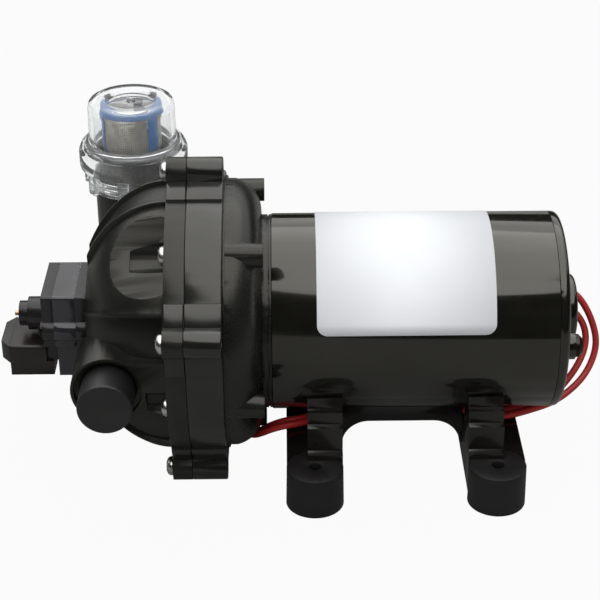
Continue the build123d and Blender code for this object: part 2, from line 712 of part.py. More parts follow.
# The bell covers the drive and carries a tower for each inner screw.
bell_round_x = BELL_X + BELL_STRAIGHT
with BuildPart() as bell_housing:
    with BuildSketch(half_plane()):
        with BuildLine():
            Polyline(
                (ADAPTER_X, ADAPTER_R),
                (ADAPTER_X, 0),
                (BELL_X, 0),
                (BELL_X, BELL_LIP_R),
                (BELL_X + BELL_LIP, BELL_LIP_R),
                (BELL_X + BELL_LIP, BELL_R),
                (bell_round_x, BELL_R),
            )
            ThreePointArc(
                (bell_round_x, BELL_R),
                (
                    bell_round_x + (ADAPTER_X - bell_round_x) * sin(radians(45)),
                    BELL_R - (BELL_R - ADAPTER_R) * (1 - cos(radians(45))),
                ),
                (ADAPTER_X, ADAPTER_R),
            )
        make_face()
    revolve(axis=motor_axis)
    with BuildSketch(half_plane()):
        with BuildLine():
            Polyline(
                (ADAPTER_X - BELL_END_WALL, ADAPTER_R - BELL_WALL),
                (ADAPTER_X - BELL_END_WALL, 0),
                (BELL_X, 0),
                (BELL_X, BELL_R - BELL_WALL),
                (bell_round_x, BELL_R - BELL_WALL),
                (ADAPTER_X - BELL_END_WALL, ADAPTER_R - BELL_WALL),
            )
        make_face()
    revolve(axis=motor_axis, mode=Mode.SUBTRACT)
    with BuildSketch(station(BELL_X)):
        with screw_spots(INNER_SCREW_R, INNER_ANGLE):
            Circle(TOWER_R)
    extrude(amount=TOWER_END_X - BELL_X)
    with BuildSketch(station(BELL_X)):
        with screw_spots(INNER_SCREW_R, INNER_ANGLE):
            Circle(SCREW_SHANK_R + SEATED)
    extrude(amount=inner_length + FLANGE_X - BELL_X + 0.5, mode=Mode.SUBTRACT)
    with BuildSketch(station(ADAPTER_X)):
        Circle(BELL_BORE_R)
    extrude(amount=-BELL_END_WALL, mode=Mode.SUBTRACT)
finish(bell_housing, "bell_housing")

# The front adapter closes the can and seats the front bearing.
can_bore_r = CAN_R - CAN_WALL
with BuildPart() as front_adapter:
    with BuildSketch(half_plane()):
        with BuildLine():
            Polyline(
                (ADAPTER_X, SHAFT_R + 1.5),
                (ADAPTER_X, ADAPTER_R),
                (CAN_FRONT_X - 1.5, ADAPTER_R),
                (CAN_FRONT_X - 1.5, ADAPTER_R - ADAPTER_GROOVE),
                (CAN_FRONT_X - 0.9, ADAPTER_R - ADAPTER_GROOVE),
                (CAN_FRONT_X - 0.9, ADAPTER_R),
                (CAN_FRONT_X, ADAPTER_R),
                (CAN_FRONT_X, can_bore_r - SEATED),
                (CAN_FRONT_X + SPIGOT_DEPTH, can_bore_r - SEATED),
                (CAN_FRONT_X + SPIGOT_DEPTH, SHAFT_R + 1.5),
                close=True,
            )
        make_face()
    revolve(axis=motor_axis)
    with BuildSketch(station(ADAPTER_X)):
        Circle(BEARING_R)
    extrude(amount=BEARING_WIDTH, mode=Mode.SUBTRACT)
    with BuildSketch(station(CAN_FRONT_X + SPIGOT_DEPTH)):
        with Locations((TIE_BOLT_Y, 0), (-TIE_BOLT_Y, 0)):
            Circle(TIE_BOLT_R + SEATED)
    extrude(amount=-SPIGOT_DEPTH, mode=Mode.SUBTRACT)
finish(front_adapter, "front_adapter")


def bearing(x, outer, width):
    """A ball bearing: outer ring, inner ring and a ring of cages between them, as one solid."""
    with BuildSketch(station(x)) as ring:
        Circle(outer)
        Circle(SHAFT_R + RUNNING, mode=Mode.SUBTRACT)
    extrude(ring.sketch, amount=width)
    mid = (outer + SHAFT_R) / 2
    race = (outer - SHAFT_R) / 6
    for face_x, depth in ((x, 0.6), (x + width, -0.6)):
        with BuildSketch(station(face_x)) as race_ring:
            Circle(mid + race)
            Circle(mid - race, mode=Mode.SUBTRACT)
        extrude(race_ring.sketch, amount=depth, mode=Mode.SUBTRACT)


with BuildPart() as front_bearing:
    bearing(ADAPTER_X, BEARING_R, BEARING_WIDTH)
finish(front_bearing, "front_bearing")
with BuildPart() as rear_bearing:
    bearing(REAR_BEARING_X, REAR_BEARING_R, REAR_BEARING_WIDTH)
finish(rear_bearing, "rear_bearing")

# Motor: can, magnets, rotor and brush gear.
with BuildPart() as motor_can:
    with BuildSketch(station(CAN_FRONT_X)):
        Circle(CAN_R)
        Circle(can_bore_r, mode=Mode.SUBTRACT)
    extrude(amount=CAN_REAR_X - CAN_FRONT_X)
    with BuildSketch(Plane.XY):
        with Locations((HOLE_SPACING_X / 2, 0), (-HOLE_SPACING_X / 2, 0)):
            Circle(BASE_SCREW_R + SEATED)
    extrude(amount=AXIS_Z, mode=Mode.SUBTRACT)
finish(motor_can, "motor_can")

with BuildPart() as magnets:
    for middle in (90, 270):
        with BuildSketch(half_plane(middle - MAGNET_HALF_ANGLE)):
            with Locations((MAGNET_FRONT_X, MAGNET_INNER_R)):
                Rectangle(
                    MAGNET_REAR_X - MAGNET_FRONT_X,
                    can_bore_r - SEATED - MAGNET_INNER_R,
                    align=(Align.MIN, Align.MIN),
                )
        revolve(axis=motor_axis, revolution_arc=2 * MAGNET_HALF_ANGLE)
finish(magnets, "magnets")

with BuildPart() as motor_shaft:
    with BuildSketch(station(SHAFT_FRONT_X)):
        Circle(SHAFT_R)
    extrude(amount=SHAFT_REAR_X - SHAFT_FRONT_X)
finish(motor_shaft, "motor_shaft")

slot_floor_r = CORE_R - TOOTH_TIP - SLOT_DEPTH


def slot_shape(clear, mode=Mode.ADD):
    """A winding slot under the tooth tips, wider towards the rim."""
    Polygon(
        (slot_floor_r + clear, -SLOT_WIDTH / 4 + clear),
        (CORE_R - TOOTH_TIP - clear, -SLOT_WIDTH + clear + 1),
        (CORE_R - TOOTH_TIP - clear, SLOT_WIDTH - clear - 1),
        (slot_floor_r + clear, SLOT_WIDTH / 4 - clear),
        align=None,
        mode=mode,
    )


with BuildPart() as armature_core:
    with BuildSketch(station(CORE_FRONT_X)):
        Circle(CORE_R)
        Circle(SHAFT_R, mode=Mode.SUBTRACT)
        with PolarLocations(0, SLOTS):
            slot_shape(0, Mode.SUBTRACT)
            with Locations((CORE_R, 0)):
                Rectangle(2 * TOOTH_TIP + 1, SLOT_MOUTH, mode=Mode.SUBTRACT)
    extrude(amount=CORE_REAR_X - CORE_FRONT_X)
finish(armature_core, "armature_core")

with BuildPart() as windings:
    with BuildSketch(station(CORE_FRONT_X - COIL_OVERHANG)):
        with PolarLocations(0, SLOTS):
            slot_shape(SEATED)
    extrude(amount=CORE_REAR_X - CORE_FRONT_X + 2 * COIL_OVERHANG)
    for x in (CORE_FRONT_X - COIL_OVERHANG, CORE_REAR_X + SEATED):
        with BuildSketch(station(x)):
            Circle(COIL_R)
            Circle(slot_floor_r - 2, mode=Mode.SUBTRACT)
        extrude(amount=COIL_OVERHANG - SEATED)
finish(windings, "windings")

with BuildPart() as commutator:
    with BuildSketch(station(COMMUTATOR_FRONT_X)):
        Circle(COMMUTATOR_R)
        Circle(SHAFT_R, mode=Mode.SUBTRACT)
        with PolarLocations(COMMUTATOR_R, SLOTS, start_angle=15):
            Rectangle(1.2, 0.5, mode=Mode.SUBTRACT)
    extrude(amount=COMMUTATOR_REAR_X - COMMUTATOR_FRONT_X)
finish(commutator, "commutator")

# Brush gear: a card on the end cap's side, with a box over each brush and a spring behind it.
brush_mid_x = (COMMUTATOR_FRONT_X + COMMUTATOR_REAR_X) / 2
brush_inner_r = COMMUTATOR_R + BRUSH_GAP
spring_start_r = brush_inner_r + BRUSH_LENGTH + SLIP
with BuildPart() as brush_card:
    with BuildSketch(station(CARD_X)):
        Circle(can_bore_r - SEATED)
        Circle(CARD_BORE_R, mode=Mode.SUBTRACT)
        with Locations((TIE_BOLT_Y, 0), (-TIE_BOLT_Y, 0)):
            Circle(TIE_BOLT_R + SEATED, mode=Mode.SUBTRACT)
    extrude(amount=CARD_THICK)
    holder_length = HOLDER_OUTER_R - CARD_BORE_R
    for side in (-1, 1):
        holder = Plane(origin=(brush_mid_x, 0, AXIS_Z + side * CARD_BORE_R), x_dir=(1, 0, 0), z_dir=(0, 0, side))
        with BuildSketch(holder):
            Rectangle(2 * (CARD_X - brush_mid_x), BRUSH_WIDTH + 2 * HOLDER_WALL)
        extrude(amount=holder_length)
        with BuildSketch(holder):
            Rectangle(BRUSH_DEPTH + 2 * RUNNING, BRUSH_WIDTH + 2 * RUNNING)
        extrude(amount=holder_length - HOLDER_WALL, mode=Mode.SUBTRACT)
finish(brush_card, "brush_card")


def brush(side):
    """A carbon brush, its face hollowed to the commutator."""
    seat = Plane(origin=(brush_mid_x, 0, AXIS_Z), x_dir=(1, 0, 0), z_dir=(0, 0, side))
    with BuildSketch(seat) as block:
        Rectangle(BRUSH_DEPTH, BRUSH_WIDTH)
    extrude(block.sketch, amount=brush_inner_r + BRUSH_LENGTH)
    with BuildSketch(station(COMMUTATOR_FRONT_X)) as hollow:
        Circle(brush_inner_r)
    extrude(hollow.sketch, amount=COMMUTATOR_REAR_X - COMMUTATOR_FRONT_X, mode=Mode.SUBTRACT)


def brush_spring(side):
    """The spring behind a brush, drawn as the sleeve that its turns fill."""
    seat = Plane(origin=(brush_mid_x, 0, AXIS_Z + side * spring_start_r), x_dir=(1, 0, 0), z_dir=(0, 0, side))
    with BuildSketch(seat) as sleeve:
        Circle(BRUSH_SPRING_R)
        Circle(BRUSH_SPRING_BORE_R, mode=Mode.SUBTRACT)
    extrude(sleeve.sketch, amount=HOLDER_OUTER_R - HOLDER_WALL - spring_start_r)


with BuildPart() as upper_brush:
    brush(1)
finish(upper_brush, "upper_brush")
with BuildPart() as lower_brush:
    brush(-1)
finish(lower_brush, "lower_brush")
with BuildPart() as upper_brush_spring:
    brush_spring(1)
finish(upper_brush_spring, "upper_brush_spring")
with BuildPart() as lower_brush_spring:
    brush_spring(-1)
finish(lower_brush_spring, "lower_brush_spring")

# The tail: end cap with its bearing boss, the lugs of the tie bolts and a grommet for each lead.
cap_face_x = CAN_REAR_X + END_CAP_THICK
grommet_spots = [(GROMMET_Y, z - AXIS_Z) for z in GROMMET_Z]
with BuildPart() as end_cap:
    with BuildSketch(half_plane()):
        with BuildLine():
            Polyline(
                (CAN_REAR_X - SPIGOT_DEPTH, can_bore_r - SEATED - SPIGOT_WALL),
                (CAN_REAR_X - SPIGOT_DEPTH, can_bore_r - SEATED),
                (CAN_REAR_X, can_bore_r - SEATED),
                (CAN_REAR_X, CAN_R),
                (cap_face_x, CAN_R),
                (cap_face_x, BOSS_R),
                (BOSS_X, BOSS_R),
                (BOSS_X, 0),
                (REAR_BEARING_X + REAR_BEARING_WIDTH, 0),
                (REAR_BEARING_X + REAR_BEARING_WIDTH, REAR_BEARING_R + SEATED),
                (REAR_BEARING_X - 1, REAR_BEARING_R + SEATED),
                (REAR_BEARING_X - 1, can_bore_r - SEATED - SPIGOT_WALL),
                close=True,
            )
        make_face()
    revolve(axis=motor_axis)
    with BuildSketch(station(cap_face_x)):
        with Locations((TIE_BOLT_Y, 0), (-TIE_BOLT_Y, 0)):
            Circle(LUG_R)
    extrude(amount=LUG_THICK)
    outer_edges = end_cap.edges().filter_by(GeomType.CIRCLE).filter_by(lambda e: abs(e.radius - CAN_R) < 0.01)
    fillet(outer_edges.sort_by(Axis.X)[-1], END_CAP_EDGE)
    boss_edges = end_cap.edges().filter_by(GeomType.CIRCLE).filter_by(lambda e: abs(e.radius - BOSS_R) < 0.01)
    fillet(boss_edges.sort_by(Axis.X)[-1], BOSS_EDGE)
    with BuildSketch(station(cap_face_x + LUG_THICK)):
        with Locations((TIE_BOLT_Y, 0), (-TIE_BOLT_Y, 0)):
            Circle(TIE_BOLT_R + SEATED)
    extrude(amount=-END_CAP_THICK - LUG_THICK - SPIGOT_DEPTH, mode=Mode.SUBTRACT)
    with BuildSketch(station(cap_face_x)):
        with Locations(*grommet_spots):
            Circle(GROMMET_R)
    extrude(amount=-END_CAP_THICK - SPIGOT_DEPTH, mode=Mode.SUBTRACT)
finish(end_cap, "end_cap")

with BuildPart() as tie_bolts:
    tie_length = cap_face_x + LUG_THICK - CAN_FRONT_X - SEATED
    spots = Locations((TIE_BOLT_Y, 0), (-TIE_BOLT_Y, 0))
    screws(tie_bolts, station(cap_face_x + LUG_THICK), spots, TIE_HEAD_R, TIE_HEAD_HEIGHT, TIE_BOLT_R, tie_length)
finish(tie_bolts, "tie_bolts")

grommet_face_x = cap_face_x + GROMMET_STAND
with BuildPart() as lead_grommet:
    with BuildSketch(station(REAR_BEARING_X - 1)):
        with Locations(*grommet_spots):
            Circle(GROMMET_R - SEATED)
    extrude(amount=cap_face_x - REAR_BEARING_X + 1)
    with BuildSketch(station(cap_face_x)):
        with Locations(*grommet_spots):
            Circle(GROMMET_R - SEATED)
    extrude(amount=GROMMET_STAND, taper=8)
finish(lead_grommet, "lead_grommet")

# The label is a bare vinyl skin over the can.
with BuildPart() as label:
    with BuildSketch(half_plane(180 - LABEL_START - LABEL_SWEEP)):
        with Locations((LABEL_FRONT_X, CAN_R + LABEL_GLUE)):
            Rectangle(LABEL_REAR_X - LABEL_FRONT_X, LABEL_THICK, align=(Align.MIN, Align.MIN))
    revolve(axis=motor_axis, revolution_arc=LABEL_SWEEP)
    for end_x, inward in ((LABEL_FRONT_X, 1), (LABEL_REAR_X, -1)):
        for angle, side in ((180 - LABEL_START - LABEL_SWEEP, -inward), (180 - LABEL_START, inward)):
            out = Vector(0, cos(radians(angle)), sin(radians(angle)))
            foot = Vector(end_x, 0, AXIS_Z) + out * CAN_R
            with BuildSketch(Plane(origin=foot, x_dir=(inward, 0, 0), z_dir=out)):
                with Locations((LABEL_CORNER / 2, side * LABEL_CORNER / 2)):
                    Rectangle(LABEL_CORNER, LABEL_CORNER)
                with Locations((LABEL_CORNER, side * LABEL_CORNER)):
                    Circle(LABEL_CORNER, mode=Mode.SUBTRACT)
            extrude(amount=1, both=True, mode=Mode.SUBTRACT)
finish(label, "label")

# The stand: two legs, a stepped saddle over each, and a web between them with the leads' channel.
leg_x = HOLE_SPACING_X / 2
leg_inner_x = leg_x - LEG_HALF_WIDTH
foot_y = HOLE_SPACING_Y / 2
cradle_r = CAN_R + CRADLE_GAP


def saddle_outline():
    """Half of the saddle's stepped outline is mirrored; the can's cradle is cut from it later."""
    right = [(STEP_OUT[0], LEG_UNDERSIDE_Z + 8)]
    for index in range(len(STEP_OUT)):
        if index:
            right.append((STEP_OUT[index], STEP_UP[index - 1]))
        right.append((STEP_OUT[index], STEP_UP[index]))
    left = [(-y, z) for y, z in reversed(right)]
    Polygon(*right, *left, align=None)


with BuildPart() as base_stand:
    with BuildSketch(Plane.XY.offset(LEG_UNDERSIDE_Z)):
        for side in (-1, 1):
            with Locations((side * leg_x, 0)):
                Rectangle(2 * LEG_HALF_WIDTH, 2 * foot_y)
    extrude(amount=LEG_TOP_Z - LEG_UNDERSIDE_Z)
    for side in (-1, 1):
        start = leg_inner_x if side > 0 else -leg_inner_x - SADDLE_THICK
        with BuildSketch(Plane(origin=(start, 0, 0), x_dir=(0, 1, 0), z_dir=(1, 0, 0))):
            saddle_outline()
        extrude(amount=SADDLE_THICK)
    with BuildSketch(Plane(origin=(0, WEB_HALF_Y, 0), x_dir=(1, 0, 0), z_dir=(0, -1, 0))):
        with Locations((0, ARCH_FOOT_Z)):
            Rectangle(2 * leg_inner_x, AXIS_Z - CAN_R, align=(Align.CENTER, Align.MIN))
        RectangleRounded(2 * (leg_inner_x - ARCH_FOOT), 2 * ARCH_TOP_Z, ARCH_CORNER, mode=Mode.SUBTRACT)
    extrude(amount=2 * WEB_HALF_Y)
    with BuildSketch(Plane(origin=(-leg_x - LEG_HALF_WIDTH, 0, AXIS_Z), x_dir=(0, 1, 0), z_dir=(1, 0, 0))):
        Circle(cradle_r)
    extrude(amount=2 * (leg_x + LEG_HALF_WIDTH), mode=Mode.SUBTRACT)
    with BuildSketch(Plane.XY.offset(CHANNEL_FLOOR_Z)):
        with Locations((0, (CHANNEL_INNER_Y + CHANNEL_WEB_Y) / 2)):
            Rectangle(2 * leg_x, CHANNEL_INNER_Y - CHANNEL_WEB_Y)
        for side in (-1, 1):
            with Locations((side * leg_x, (CHANNEL_INNER_Y + CHANNEL_ARM_Y) / 2)):
                Rectangle(2 * LEG_HALF_WIDTH, CHANNEL_INNER_Y - CHANNEL_ARM_Y)
    extrude(amount=AXIS_Z - CHANNEL_FLOOR_Z - CAN_R / 2, mode=Mode.SUBTRACT)
    with BuildSketch(Plane.XY):
        with GridLocations(HOLE_SPACING_X, HOLE_SPACING_Y, 2, 2):
            Circle(LEG_HALF_WIDTH + FOOT_FLARE)
    extrude(amount=LEG_TOP_Z, mode=Mode.SUBTRACT)
    with BuildSketch(Plane.XY.offset(TONGUE_Z[0])):
        for side in (-1, 1):
            with Locations((side * leg_x, 0)):
                Rectangle(2 * TONGUE_HALF, 2 * (foot_y + TONGUE_REACH))
        with GridLocations(HOLE_SPACING_X, HOLE_SPACING_Y, 2, 2):
            Circle(MOUNT_HOLE_R, mode=Mode.SUBTRACT)
    extrude(amount=TONGUE_Z[1] - TONGUE_Z[0])
    with BuildSketch(Plane.XY):
        with Locations((leg_x, 0), (-leg_x, 0)):
            Circle(BASE_SCREW_HEAD_R + SLIP)
    extrude(amount=BASE_SCREW_SEAT_Z, mode=Mode.SUBTRACT)
    with BuildSketch(Plane.XY):
        with Locations((leg_x, 0), (-leg_x, 0)):
            Circle(BASE_SCREW_R + SEATED)
    extrude(amount=AXIS_Z, mode=Mode.SUBTRACT)
finish(base_stand, "base_stand")

with BuildPart() as rubber_feet:
    with BuildSketch(Plane.XY):
        with GridLocations(HOLE_SPACING_X, HOLE_SPACING_Y, 2, 2):
            Circle(LEG_HALF_WIDTH + FOOT_FLARE - SEATED)
    extrude(amount=LEG_TOP_Z, taper=1)
    with BuildSketch(Plane.XY.offset(TONGUE_Z[0] - SEATED)):
        for side in (-1, 1):
            with Locations((side * leg_x, 0)):
                Rectangle(2 * (TONGUE_HALF + SEATED), 2 * (foot_y + TONGUE_REACH + SEATED))
    extrude(amount=TONGUE_Z[1] - TONGUE_Z[0] + 2 * SEATED, mode=Mode.SUBTRACT)
    with BuildSketch(Plane.XY):
        with GridLocations(HOLE_SPACING_X, HOLE_SPACING_Y, 2, 2):
            Circle(MOUNT_HOLE_R)
    extrude(amount=LEG_TOP_Z, mode=Mode.SUBTRACT)
finish(rubber_feet, "rubber_feet")

with BuildPart() as base_screws:
    facing_down = Plane(origin=(0, 0, BASE_SCREW_SEAT_Z), x_dir=(1, 0, 0), z_dir=(0, 0, -1))
    spots = Locations((leg_x, 0), (-leg_x, 0))
    length = BASE_SCREW_TOP_Z - BASE_SCREW_SEAT_Z
    screws(base_screws, facing_down, spots, BASE_SCREW_HEAD_R, SCREW_HEAD_HEIGHT, BASE_SCREW_R, length)
finish(base_screws, "base_screws")


def port_rings(profile):
    """Turn an outline of (distance along Y, radius) pairs about the port axis."""
    with BuildSketch(port_half_plane) as outline:
        with BuildLine():
            Polyline(*profile, close=True)
        make_face()
    revolve(outline.sketch, axis=port_axis)


groove_r = SOCKET_R - 2 * ORING_SECTION_R
groove_half = ORING_SECTION_R + SEATED

# The outlet cap plugs the delivery socket until a fitting takes its place.
cap_inner_y = -(PORT_Y - CAP_DEPTH)
cap_groove_y = cap_inner_y - 3
with BuildPart() as outlet_cap:
    port_rings(
        [
            (-CAP_FACE_Y, 0),
            (-CAP_FACE_Y, SPIGOT_R),
            (cap_groove_y - groove_half, SPIGOT_R),
            (cap_groove_y - groove_half, groove_r - SEATED),
            (cap_groove_y + groove_half, groove_r - SEATED),
            (cap_groove_y + groove_half, SPIGOT_R),
            (cap_inner_y, SPIGOT_R),
            (cap_inner_y, SPIGOT_R - 2),
            (-CAP_FACE_Y + 3, SPIGOT_R - 2),
            (-CAP_FACE_Y + 3, 0),
        ],
    )
    fillet(outlet_cap.edges().filter_by(GeomType.CIRCLE).sort_by(Axis.Y)[0], 1.0)
finish(outlet_cap, "outlet_cap")

with BuildPart() as outlet_cap_oring:
    with BuildSketch(port_half_plane):
        ring_profile(cap_groove_y, ORING_SECTION_R - SEATED, SOCKET_R - ORING_SECTION_R)
    revolve(axis=port_axis)
finish(outlet_cap_oring, "outlet_cap_oring")

# The strainer stands behind the head: its spigot plugs into the inlet socket, and the hose tail
# points away from the pump. Water rises through the feed hole, passes the mesh and falls in the well.
spigot_end_y = PORT_Y - CAP_DEPTH
spigot_groove_y = spigot_end_y + 3
neck_collar_y = PORT_Y + NUT_LENGTH + 1
feed_y = BODY_BORE_R - FEED_R - FEED_WALL
with BuildPart() as strainer_body:
    with BuildSketch(level(BODY_BOTTOM_Z)):
        Circle(BODY_R)
    extrude(amount=BODY_TOP_Z - BODY_BOTTOM_Z)
    bottom = strainer_body.edges().filter_by(GeomType.CIRCLE).sort_by(Axis.Z)[0]
    fillet(bottom, BODY_BOTTOM_EDGE)
    port_rings(
        [
            (spigot_end_y, 0),
            (spigot_end_y, SPIGOT_R),
            (spigot_groove_y - groove_half, SPIGOT_R),
            (spigot_groove_y - groove_half, groove_r - SEATED),
            (spigot_groove_y + groove_half, groove_r - SEATED),
            (spigot_groove_y + groove_half, SPIGOT_R),
            (neck_collar_y, SPIGOT_R),
            (STRAINER_Y - BODY_R + 3, SOCKET_OUTER_R - 1),
            (STRAINER_Y, SOCKET_OUTER_R - 1),
            (TAIL_COLLAR_Y, TAIL_COLLAR_R),
            (TAIL_COLLAR_Y, TAIL_R),
            (TAIL_END_Y, TAIL_R),
            (TAIL_END_Y, 0),
        ],
    )
    for barb in range(BARBS):
        tip = TAIL_END_Y - BARB_PITCH * barb
        port_rings(
            [(tip, 0), (tip, TAIL_R), (tip - BARB_PITCH + 1, TAIL_R + BARB_RISE), (tip - BARB_PITCH + 1, 0)],
        )
    with BuildSketch(level(BODY_TOP_Z)):
        Circle(BODY_BORE_R)
    extrude(amount=LEDGE_Z - BODY_TOP_Z, mode=Mode.SUBTRACT)
    with BuildSketch(level(LEDGE_Z)):
        Circle(WELL_R)
    extrude(amount=WELL_FLOOR_Z - LEDGE_Z, mode=Mode.SUBTRACT)
    with BuildSketch(level(LEDGE_Z)):
        with Locations((0, feed_y)):
            Circle(FEED_R)
    extrude(amount=PORT_Z - LEDGE_Z, mode=Mode.SUBTRACT)
    with BuildSketch(across(STRAINER_Y)):
        Circle(NECK_BORE_R)
    extrude(amount=STRAINER_Y - spigot_end_y, mode=Mode.SUBTRACT)
    with BuildSketch(across(TAIL_END_Y)):
        Circle(TAIL_BORE_R)
    extrude(amount=TAIL_END_Y - STRAINER_Y - feed_y, mode=Mode.SUBTRACT)
finish(strainer_body, "strainer_body")

with BuildPart() as spigot_oring:
    with BuildSketch(port_half_plane):
        ring_profile(spigot_groove_y, ORING_SECTION_R - SEATED, SOCKET_R - ORING_SECTION_R)
    revolve(axis=port_axis)
finish(spigot_oring, "spigot_oring")

with BuildPart() as inlet_nut:
    with BuildSketch(across(PORT_Y + SLIP + NUT_LENGTH)):
        Circle(NUT_R)
        with PolarLocations(NUT_R, NUT_RIBS):
            Circle(1.0, mode=Mode.SUBTRACT)
        Circle(SPIGOT_R + RUNNING, mode=Mode.SUBTRACT)
    extrude(amount=NUT_LENGTH)
    with BuildSketch(across(PORT_Y + SLIP)):
        Circle(NUT_NOSE_R)
        Circle(SPIGOT_R + RUNNING, mode=Mode.SUBTRACT)
    extrude(amount=COUNTERBORE_DEPTH)
finish(inlet_nut, "inlet_nut")

# The clear bowl screws down over the body and holds the basket.
roof_z = BOWL_TOP_Z - BOWL_ROOF
oring_z = BODY_TOP_Z + SLIP
with BuildPart() as strainer_bowl:
    with BuildSketch(strainer_half_plane):
        with BuildLine():
            Polyline(
                (0, BOWL_TOP_Z),
                (BOWL_R, BOWL_TOP_Z),
                (BOWL_R + 0.3, BOWL_NECK_Z),
                (BOWL_SHOULDER_R, BOWL_NECK_Z - 1),
                (BOWL_FLANGE_R, BOWL_FLANGE_TOP_Z),
                (BOWL_FLANGE_R, BOWL_FLANGE_BOTTOM_Z),
                (SKIRT_R, BOWL_FLANGE_BOTTOM_Z),
                (SKIRT_R, SKIRT_BOTTOM_Z),
                (SKIRT_BORE_R, SKIRT_BOTTOM_Z),
                (SKIRT_BORE_R, oring_z),
                (BOWL_ORING_R + SEATED, oring_z),
                (BOWL_ORING_R + SEATED, oring_z + BOWL_ORING_THICK),
                (BOWL_R - BOWL_WALL, oring_z + BOWL_ORING_THICK),
                (BOWL_R - BOWL_WALL, roof_z),
                (0, roof_z),
                close=True,
            )
        make_face()
    revolve(axis=strainer_axis)
    crown = strainer_bowl.edges().filter_by(GeomType.CIRCLE).sort_by(Axis.Z)[-1]
    fillet(crown, BOWL_EDGE)
    with BuildSketch(level(BOWL_TOP_Z)):
        Circle(CROWN_RECESS_R)
    extrude(amount=-CROWN_RECESS, mode=Mode.SUBTRACT)
    with BuildSketch(level(SKIRT_BOTTOM_Z)):
        with PolarLocations(SKIRT_R - 0.2, EARS, start_angle=30):
            Circle(EAR_R)
        Circle(SKIRT_BORE_R + 1, mode=Mode.SUBTRACT)
    extrude(amount=BOWL_FLANGE_BOTTOM_Z - SKIRT_BOTTOM_Z)
finish(strainer_bowl, "strainer_bowl")

with BuildPart() as bowl_oring:
    with BuildSketch(level(oring_z)):
        Circle(BOWL_ORING_R)
        Circle(BODY_BORE_R + SLIP, mode=Mode.SUBTRACT)
    extrude(amount=BOWL_ORING_THICK - SEATED)
finish(bowl_oring, "bowl_oring")

with BuildPart() as strainer_basket:
    with BuildSketch(level(BASKET_TOP_Z)):
        Circle(BASKET_R)
        Circle(MESH_R - MESH_THICK - SEATED, mode=Mode.SUBTRACT)
    extrude(amount=-BASKET_RING)
    with BuildSketch(strainer_half_plane):
        with BuildLine():
            Polyline(
                (WELL_R - RUNNING * 2, BASKET_FOOT_Z),
                (WELL_R - RUNNING * 2, LEDGE_Z + SLIP),
                (WELL_R + 1.2, LEDGE_Z + SLIP),
                (BASKET_R, BASKET_FOOT_TOP_Z - 1),
                (BASKET_R, BASKET_FOOT_TOP_Z),
                (MESH_R - MESH_THICK - SEATED, BASKET_FOOT_TOP_Z),
                (WELL_R - 1.5, LEDGE_Z + 1),
                (WELL_R - 1.5, BASKET_FOOT_Z),
                close=True,
            )
        make_face()
    revolve(axis=strainer_axis)
    with BuildSketch(level(BASKET_FOOT_TOP_Z)):
        with PolarLocations((MESH_R + BASKET_R) / 2 + SEATED / 2, BASKET_STRIPS, start_angle=BASKET_STRIP_ANGLE):
            Rectangle(BASKET_R - MESH_R - SEATED, 5)
    extrude(amount=BASKET_TOP_Z - BASKET_RING - BASKET_FOOT_TOP_Z)
finish(strainer_basket, "strainer_basket")

with BuildPart() as strainer_mesh:
    with BuildSketch(level(BASKET_FOOT_TOP_Z)):
        Circle(MESH_R)
        Circle(MESH_R - MESH_THICK, mode=Mode.SUBTRACT)
    extrude(amount=BASKET_TOP_Z - BASKET_RING - BASKET_FOOT_TOP_Z)
finish(strainer_mesh, "strainer_mesh")


def switch_outline():
    """The switch's layers: broad above, narrower below, with a round screw lug on each side."""
    with Locations((0, (SWITCH_HALF_Z - SHOULDER_DROP) / 2)):
        RectangleRounded(2 * SWITCH_HALF_Y, SWITCH_HALF_Z + SHOULDER_DROP, SWITCH_CORNER)
    Rectangle(2 * TAB_HALF_Y, SWITCH_HALF_Z, align=(Align.CENTER, Align.MAX))
    with Locations((SWITCH_LUG_Y, 0), (-SWITCH_LUG_Y, 0)):
        Circle(SWITCH_LUG_R)


def switch_holes():
    with Locations((SWITCH_LUG_Y, 0), (-SWITCH_LUG_Y, 0)):
        Circle(SWITCH_SCREW_R + SEATED, mode=Mode.SUBTRACT)


def plunger_shape(clear, radius):
    """The plunger's head with its arm down to the microswitch's button."""
    Circle(radius + clear)
    with Locations((0, 0)):
        Rectangle(
            2 * (PLUNGER_ARM_HALF + clear),
            BUTTON_DROP + PLUNGER_ARM_HALF + clear,
            align=(Align.CENTER, Align.MAX),
        )


# The pressure switch: pressure bends its diaphragm, which drives the plunger against the spring
# until the plunger's arm presses the microswitch's button. The screw sets the spring.
with BuildPart() as switch_back_plate:
    with BuildSketch(station(BACK_PLATE_X)):
        switch_outline()
        switch_holes()
    extrude(amount=NOSE_X - BACK_PLATE_X)
    with BuildSketch(station(BACK_PLATE_X)):
        Circle(SWITCH_DIAPHRAGM_R + SEATED)
    extrude(amount=SWITCH_DIAPHRAGM_THICK, mode=Mode.SUBTRACT)
    with BuildSketch(station(BACK_PLATE_X)):
        Circle(SCREW_SHANK_R)
    extrude(amount=NOSE_X - BACK_PLATE_X, mode=Mode.SUBTRACT)
finish(switch_back_plate, "switch_back_plate")

with BuildPart() as switch_diaphragm:
    with BuildSketch(station(BACK_PLATE_X)):
        Circle(SWITCH_DIAPHRAGM_R)
    extrude(amount=SWITCH_DIAPHRAGM_THICK - SEATED)
finish(switch_diaphragm, "switch_diaphragm")

